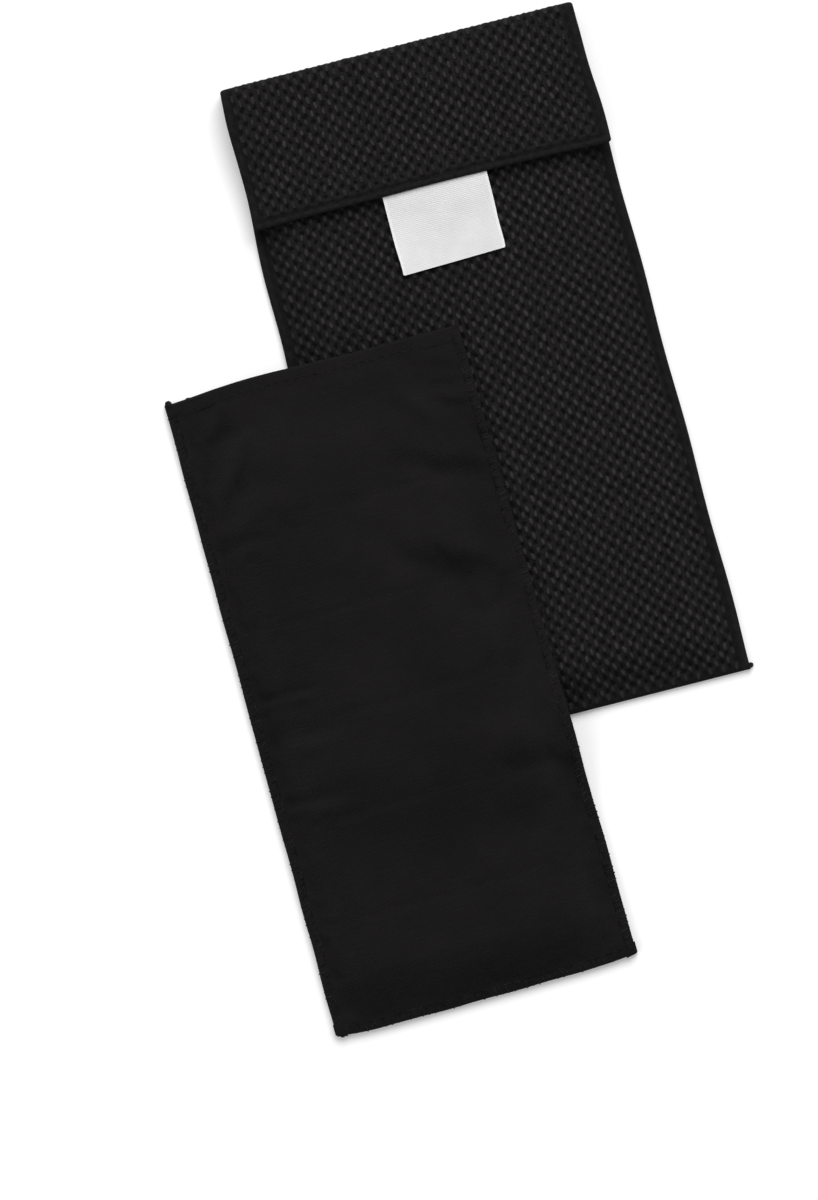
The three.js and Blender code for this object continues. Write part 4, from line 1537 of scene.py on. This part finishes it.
carry("pouch", "pouch_cotton", wall_cloth)
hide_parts("pouch_front_cloth")
print("front wall:", len(wall_rows), "rows of", len(wall_columns), "points")

# %% Stitches along the channels
FINE_STITCH = (2.6 * MM, 2.0 * MM, 0.09 * MM)  # pitch, length and radius
STITCH_SINK = 0.17 * MM
channel_stitches = []
sewn_part = slice(8, -8)  # the stitches stop short of the overlocked edges
for number, row in enumerate(np.flatnonzero(on_seam)):
    up = wall_up[row, sewn_part]
    line = start[row, sewn_part] - up * STITCH_SINK
    name = "pouch_channel_stitches_" + str(number + 1)
    channel_stitches.append(sew(name, line, up, 60 + number, *FINE_STITCH))
carry("pouch", "overlock_thread", *channel_stitches)
wall_trim = list(channel_stitches)  # what is sewn on the front wall

# %% [markdown]
# ## The other plies
#
# The lining of the front wall, the lining of the back wall and the outer cloth of the back wall
# are seen through the mouth, from below and when the pouch is lifted. They follow the rules of
# the CAD solids without a simulation, because the crystals press them flat where they lie.

# %% Linings and back cloth
ply_columns = np.linspace(-pouch_half + EDGE_TUCK, pouch_half - EDGE_TUCK, 41)
ply_rows = np.linspace(-pouch_head + EDGE_TUCK, pouch_head - EDGE_TUCK, 81)
CLEAR = 0.2 * MM  # what lies under the front wall stays this far from it
QUILT_INSIDE = 0.5 * MM
QUILT_OUTSIDE = 0.3 * MM


def quilted(u, v, depth):
    """Shallow valleys where the channels are sewn through."""
    return depth * (1 - crown(v)) ** 4 * filled(u, v)


def lining_face(u, v):
    """The lining gives way where a crease of the wall goes deep."""
    lining = front_lining_under(u, v) + quilted(u, v, QUILT_INSIDE)
    return np.minimum(lining, wall_face(u, v) - 2 * PLY - CLEAR)


def back_inner_face(u, v):
    return back_lining_top(u, v) - quilted(u, v, QUILT_INSIDE)


def back_outer_face(u, v):
    return drape(u, v) + quilted(u, v, QUILT_OUTSIDE)


other_plies = {  # height, facing down or up, CAD node, and the sheet it rests on
    "pouch_front_inner": (lining_face, -1, "pouch_front_lining", "pouch_back_inner"),
    "pouch_back_inner": (back_inner_face, 1, "pouch_back_lining", "pouch_back_wall"),
    "pouch_back_wall": (back_outer_face, -1, "pouch_back_cloth", "cover_front_cloth"),
}
finishes = {"lining": (lining_cotton, "pouch_lining"), "cloth": (black_cotton, "pouch_cotton")}
laid = []
for name, (face, facing, node, rests_on) in other_plies.items():
    material, slot = finishes[node.split("_")[-1]]
    points, flat = pouch_grid(ply_columns[::facing], ply_rows, face)
    ply_sheet = make_sheet(name, points, PLY, flat, material)
    carry("pouch", slot, ply_sheet)
    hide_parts(node)
    laid.append((ply_sheet, flat, rests_on))
for ply_sheet, flat, rests_on in laid:
    declare_sheet(ply_sheet, flat)

# %% [markdown]
# ## Hems of the mouth
#
# Each wall ends at the mouth in a narrow turned hem. The hem is bound round both plies of its
# wall, with a row of stitches near its inner edge.

# %% Hems of both walls
HEM_PLY = 0.35 * MM
HEM_INSET = 2.0 * MM


def pouch_line(u, v, height):
    x, y = on_table(u, v)
    return np.stack([x, y, height], -1)


def add_hem(name, node, under, over, seed):
    columns = np.linspace(-pouch_half + HEM_INSET, pouch_half - HEM_INSET, 61)
    head = 0 * columns + pouch_head
    inner = head - POUCH_HEM
    high_side = over(columns, inner)
    half = float(np.mean(high_side - under(columns, inner))) / 2 + 0.05 * MM
    middle = pouch_line(columns, head, high_side + 0.05 * MM - half)
    inward = unit(pouch_line(columns, inner, 0 * columns) - pouch_line(columns, head, 0 * columns))
    up = unit(np.cross(inward, np.gradient(middle, axis=0)))
    hem = bound_edge(name, middle, inward, up, POUCH_HEM, half, half, HEM_PLY, black_cotton)
    line = middle + inward * 0.8 * POUCH_HEM + up * (half - 0.05 * MM)
    stitches = sew(name + "_stitches", line[1:-1], up[1:-1], seed, *FINE_STITCH)
    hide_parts(node)
    carry("pouch", "pouch_cotton", hem)
    carry("pouch", "overlock_thread", stitches)
    wall_trim.extend([hem, stitches])


add_hem("pouch_front_hem", "pouch_front_mouth_hem", front_lining_under, wall_face, 71)
add_hem("pouch_back_hem", "pouch_back_mouth_hem", drape, back_lining_top, 72)

# %% [markdown]
# ## Overlocked edges
#
# The sides and foot of the pouch are overlocked: all four plies are trimmed together and wrapped
# in thread. A rounded core gives the body of the edge, loops of thread grow over it, and a chain
# of stitches runs along the loops' inner ends. At the corners the threads end in knots and ears.

# %% The three edges
CORE_HALF = STACK / 2 - 0.5 * MM
CORE_SINK = 0.35 * MM  # the core lies below the rolled edge of the front wall
CORE_ROUND = POUCH_SEAM * 0.9
CORE_PLY = 0.4 * MM
CHAIN_LENGTH = 2.0 * MM
CHAIN_RADIUS = 0.13 * MM
EDGE_STRAY = 0.1 * MM
LOOP_SLANT = 0.35
LOOP_PITCH = 1.7 * MM
LOOP_RADIUS = 0.21 * MM
LOOP_REACH = 2.4 * MM
LOOP_RISE = STACK / 2 - ROLL_DIP - 0.02 * MM


def add_overlock(side, u, v, step_u, step_v, seed):
    """An overlocked edge along the points u, v, with the cloth lying towards step_u, step_v."""
    name = "pouch_" + side
    stray = LOOP_RADIUS + EDGE_STRAY * uneven(u + v, 0 * u, 22 * MM, seed)
    u = u + stray * np.sign(step_u)
    v = v + stray * np.sign(step_v)
    middle = pouch_line(u, v, drape(u, v) + STACK / 2)
    within = pouch_line(u + step_u, v + step_v, drape(u + step_u, v + step_v) + STACK / 2)
    inward = unit(within - middle)
    up = unit(np.cross(inward, np.gradient(middle, axis=0)))
    if up[:, 2].mean() < 0:
        middle, inward, up = middle[::-1], inward[::-1], -up[::-1]
    core_line = middle - up * CORE_SINK
    core = bound_edge(
        name + "_core", core_line, inward, up, POUCH_SEAM, CORE_HALF, CORE_ROUND, CORE_PLY, black_cotton)
    looped = make_path(middle[2:-2][::-1], up[2:-2][::-1])  # the last loops would stand off the corners
    loops = grow(name + "_overlock", looped, overlock_tree, {
        "Pitch": LOOP_PITCH, "Reach": LOOP_REACH, "Rise": LOOP_RISE, "Radius": LOOP_RADIUS,
        "Slant": LOOP_SLANT, "Seed": seed,
    }, black_thread)
    chain_line = (middle + inward * LOOP_REACH + up * LOOP_RISE)[2:-2]
    chain = sew(name + "_chain", chain_line, up[2:-2], seed + 1, LOOP_PITCH, CHAIN_LENGTH, CHAIN_RADIUS)
    carry("pouch", "overlock_thread", core, loops, chain)
    wall_trim.extend([core, loops, chain])
    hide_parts(name + "_seam")


long_v = np.linspace(-pouch_head, pouch_head, 120)
wide_u = np.linspace(-pouch_half, pouch_half, 60)
INTO = 1 * MM
add_overlock("left", 0 * long_v - pouch_half, long_v, 0 * long_v + INTO, 0 * long_v, 81)
add_overlock("right", 0 * long_v + pouch_half, long_v, 0 * long_v - INTO, 0 * long_v, 84)
add_overlock("bottom", wide_u, 0 * wide_u - pouch_head, 0 * wide_u, 0 * wide_u + INTO, 87)

# %% Thread ends at the pouch's corners


def at_stack(u, v):
    return pouch_line(u, v, drape(u, v) + STACK * 0.55)


KNOT_RADIUS = 0.68 * MM  # at the mouth the threads end in knots
pouch_ears = {
    "top_left": ((-pouch_half + 1.4 * MM, pouch_head + 0.2 * MM), (-0.12, 0.99), KNOT_RADIUS),
    "mouth": ((-pouch_half + 7.0 * MM, pouch_head - 0.6 * MM), (0.1, 1.0), KNOT_RADIUS),
    "foot_left": ((-pouch_half + 1.8 * MM, -pouch_head + 0.3 * MM), (0.1, -0.99), EAR_RADIUS),
    "foot_right": ((pouch_half - 0.9 * MM, -pouch_head + 1.0 * MM), (0.95, -0.3), EAR_RADIUS),
}
for name, (corner, out, radius) in pouch_ears.items():
    wall_trim.append(add_ear("pouch_ear_" + name, corner, out, at_stack, "pouch", radius))
declare_sheet(wall_cloth, wall_flat)

# %% [markdown]
# ## Crystals
#
# Between the plies of each wall lie crystals of a polymer that swells in water. They are strewn
# over a sheet in the middle of the wall, and each is as large as the wall is thick there.

# %% Tree of crystals, and both walls
CRYSTALS_PER_AREA = 120000.0  # for each square metre
CRYSTAL_SHARE = 0.8  # of the depth of the bed
LEAST_DEPTH = 0.6 * MM


def make_crystal_tree():
    tree, given = start_tree("strewn_crystals", {"Density": "Float", "Share": "Float", "Seed": "Int"})
    strewn = tree.add("GeometryNodeDistributePointsOnFaces", {"distribute_method": "RANDOM"}, {
        "Mesh": given["Geometry"], "Density": given["Density"], "Seed": given["Seed"],
    })
    tumble = {
        axis: random_value(tree, 0.0, 2 * math.pi, given["Seed"] + number)
        for number, axis in enumerate(("X", "Y", "Z"), start=1)
    }
    size = named(tree, "FLOAT", "depth") * given["Share"] * random_value(tree, 0.6, 1.0, given["Seed"] + 4)
    crystals = tree.add("GeometryNodeInstanceOnPoints", {}, {
        "Points": strewn,
        "Instance": tree.add("GeometryNodeMeshIcoSphere", {}, {"Radius": 0.5, "Subdivisions": 1}),
        "Rotation": tree.spin(**tumble),
        "Scale": tree.combine(X=size, Y=size, Z=size),
    })
    return end_tree(tree, given, crystals)


crystal_tree = make_crystal_tree()
bed_columns = np.linspace(-ply_half, ply_half, 41)
bed_rows = np.linspace(ply_foot, channel_head, 121)
bed_u, bed_v = np.meshgrid(bed_columns, bed_rows)
bed_depth = BED * crown(bed_v) * filled(bed_u, bed_v)
bed_room = wall_face(bed_u, bed_v) - PLY - CLEAR - (lining_face(bed_u, bed_v) + PLY)


def strew(wall, under, depth, seed):
    points = pouch_grid(bed_columns, bed_rows, under)[0]
    points[..., 2] += depth / 2
    faces = grid_faces(*points.shape[:2])[1]
    deep = depth.ravel()[faces].min(axis=1) > LEAST_DEPTH
    mesh = bpy.data.meshes.new("bed")
    mesh.from_pydata(points.reshape(-1, 3).tolist(), [], faces[deep].tolist())
    layer = mesh.attributes.new("depth", "FLOAT", "POINT")
    layer.data.foreach_set("value", depth.ravel().astype(np.float32))
    sizes = {"Density": CRYSTALS_PER_AREA, "Share": CRYSTAL_SHARE, "Seed": seed}
    crystals = grow("pouch_" + wall + "_crystals", mesh, crystal_tree, sizes, clear_crystals)
    carry("pouch", "cooling_crystals", crystals)
    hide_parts(*[wall + "_crystal_bed_" + str(number + 1) for number in range(CHANNELS)])


strew("front", lambda u, v: lining_face(u, v) + PLY, np.clip(bed_room, 0, BED), 91)
strew("back", lambda u, v: drape(u, v) + PLY + GAP, bed_depth, 92)

# %% [markdown]
# ## Floor, light and camera
#
# The object lies on a white table and is seen from straight above. The floor is a pale diffuse
# sheet that adds a little light of its own for the camera alone, so that it reads as white and
# still keeps the object's soft shadow. A large lamp towards the top of the frame gives that
# shadow, a weaker one fills it from the left, and an even sky lights the rest.

# %% Floor
FLOOR_SIZE = 6.0
FLOOR_LEVEL = -0.1 * MM
FLOOR_GLOW = 0.18
floor_finish, tree = start_finish("white_table")
paper = noise(tree, object_place(tree), 800)
ray = tree.add("ShaderNodeLightPath")
seen = tree.maths("MAXIMUM", ray, ray.other("Is Glossy Ray"))
seen = tree.maths("MAXIMUM", seen, ray.other("Is Transmission Ray"))
sheet = tree.add("ShaderNodeBsdfDiffuse", {}, {"Color": mixed(tree, paper, grey(0.88), grey(0.9))})
glow = tree.add("ShaderNodeEmission", {}, {"Color": grey(1.0), "Strength": seen * FLOOR_GLOW})
surface = tree.add("ShaderNodeAddShader", {}, {0: sheet, 1: glow})
tree.add("ShaderNodeOutputMaterial", {}, {"Surface": surface})
floor_mesh = bpy.data.meshes.new("floor")
half = FLOOR_SIZE / 2
corners = [(-half, -half), (half, -half), (half, half), (-half, half)]
floor_mesh.from_pydata([(x, y, FLOOR_LEVEL) for x, y in corners], [], [(0, 1, 2, 3)])
floor = add_piece("floor", floor_mesh, floor_finish)
print("floor", FLOOR_SIZE, "m wide,", round(-FLOOR_LEVEL / MM, 2), "mm below the table plane")

# %% Camera
IMAGE_HEIGHT = 1200
PIXEL = 0.27 * MM  # what one pixel of the photograph's frame covers at the cover's front
LEAN = math.radians(14.3)  # the cover leans to the left in the frame
AIM = Vector((-33.5 * MM, -52.45 * MM, front_top))
DISTANCE = 2.8

camera_data = bpy.data.cameras.new("camera")
camera_data.sensor_width = 36
camera_data.lens = camera_data.sensor_width * DISTANCE / (IMAGE_HEIGHT * PIXEL)
camera = bpy.data.objects.new("camera", camera_data)
bpy.context.collection.objects.link(camera)
frame_up = Vector((math.sin(LEAN), math.cos(LEAN), 0))
frame_right = Vector((math.cos(LEAN), -math.sin(LEAN), 0))
turned = Matrix((frame_right, frame_up, Vector((0, 0, 1)))).transposed()
camera.matrix_world = Matrix.Translation(AIM + Vector((0, 0, DISTANCE))) @ turned.to_4x4()
bpy.context.scene.camera = camera
print("lens", round(camera_data.lens, 1), "mm")

# %% Lamps and sky
SKY = 0.32


def add_lamp(name, direction, distance, size, power):
    lamp_data = bpy.data.lights.new(name, "AREA")
    lamp_data.shape = "DISK"
    lamp_data.size = size
    lamp_data.energy = power
    lamp = bpy.data.objects.new(name, lamp_data)
    bpy.context.collection.objects.link(lamp)
    lamp.location = AIM + direction.normalized() * distance
    lamp.rotation_euler = direction.to_track_quat("Z", "Y").to_euler()
    print(name, "lamp:", power, "W,", size, "m wide,", distance, "m away")


up = Vector((0, 0, 1))
key_way = frame_right * 0.13 + frame_up * 0.75 + up * 0.9
fill_way = frame_right * -0.7 + frame_up * -0.2 + up * 0.9
add_lamp("key", key_way, distance=1.5, size=1.3, power=20.5)
add_lamp("fill", fill_way, distance=1.8, size=1.2, power=6.5)
world = bpy.data.worlds.new("sky")
bpy.context.scene.world = world
world.use_nodes = True
world.node_tree.nodes.clear()
tree = Tree(world.node_tree)
sky = tree.add("ShaderNodeBackground", {}, {"Color": grey(1.0), "Strength": SKY})
tree.add("ShaderNodeOutputWorld", {}, {"Surface": sky})
bpy.context.scene.view_settings.view_transform = "Standard"
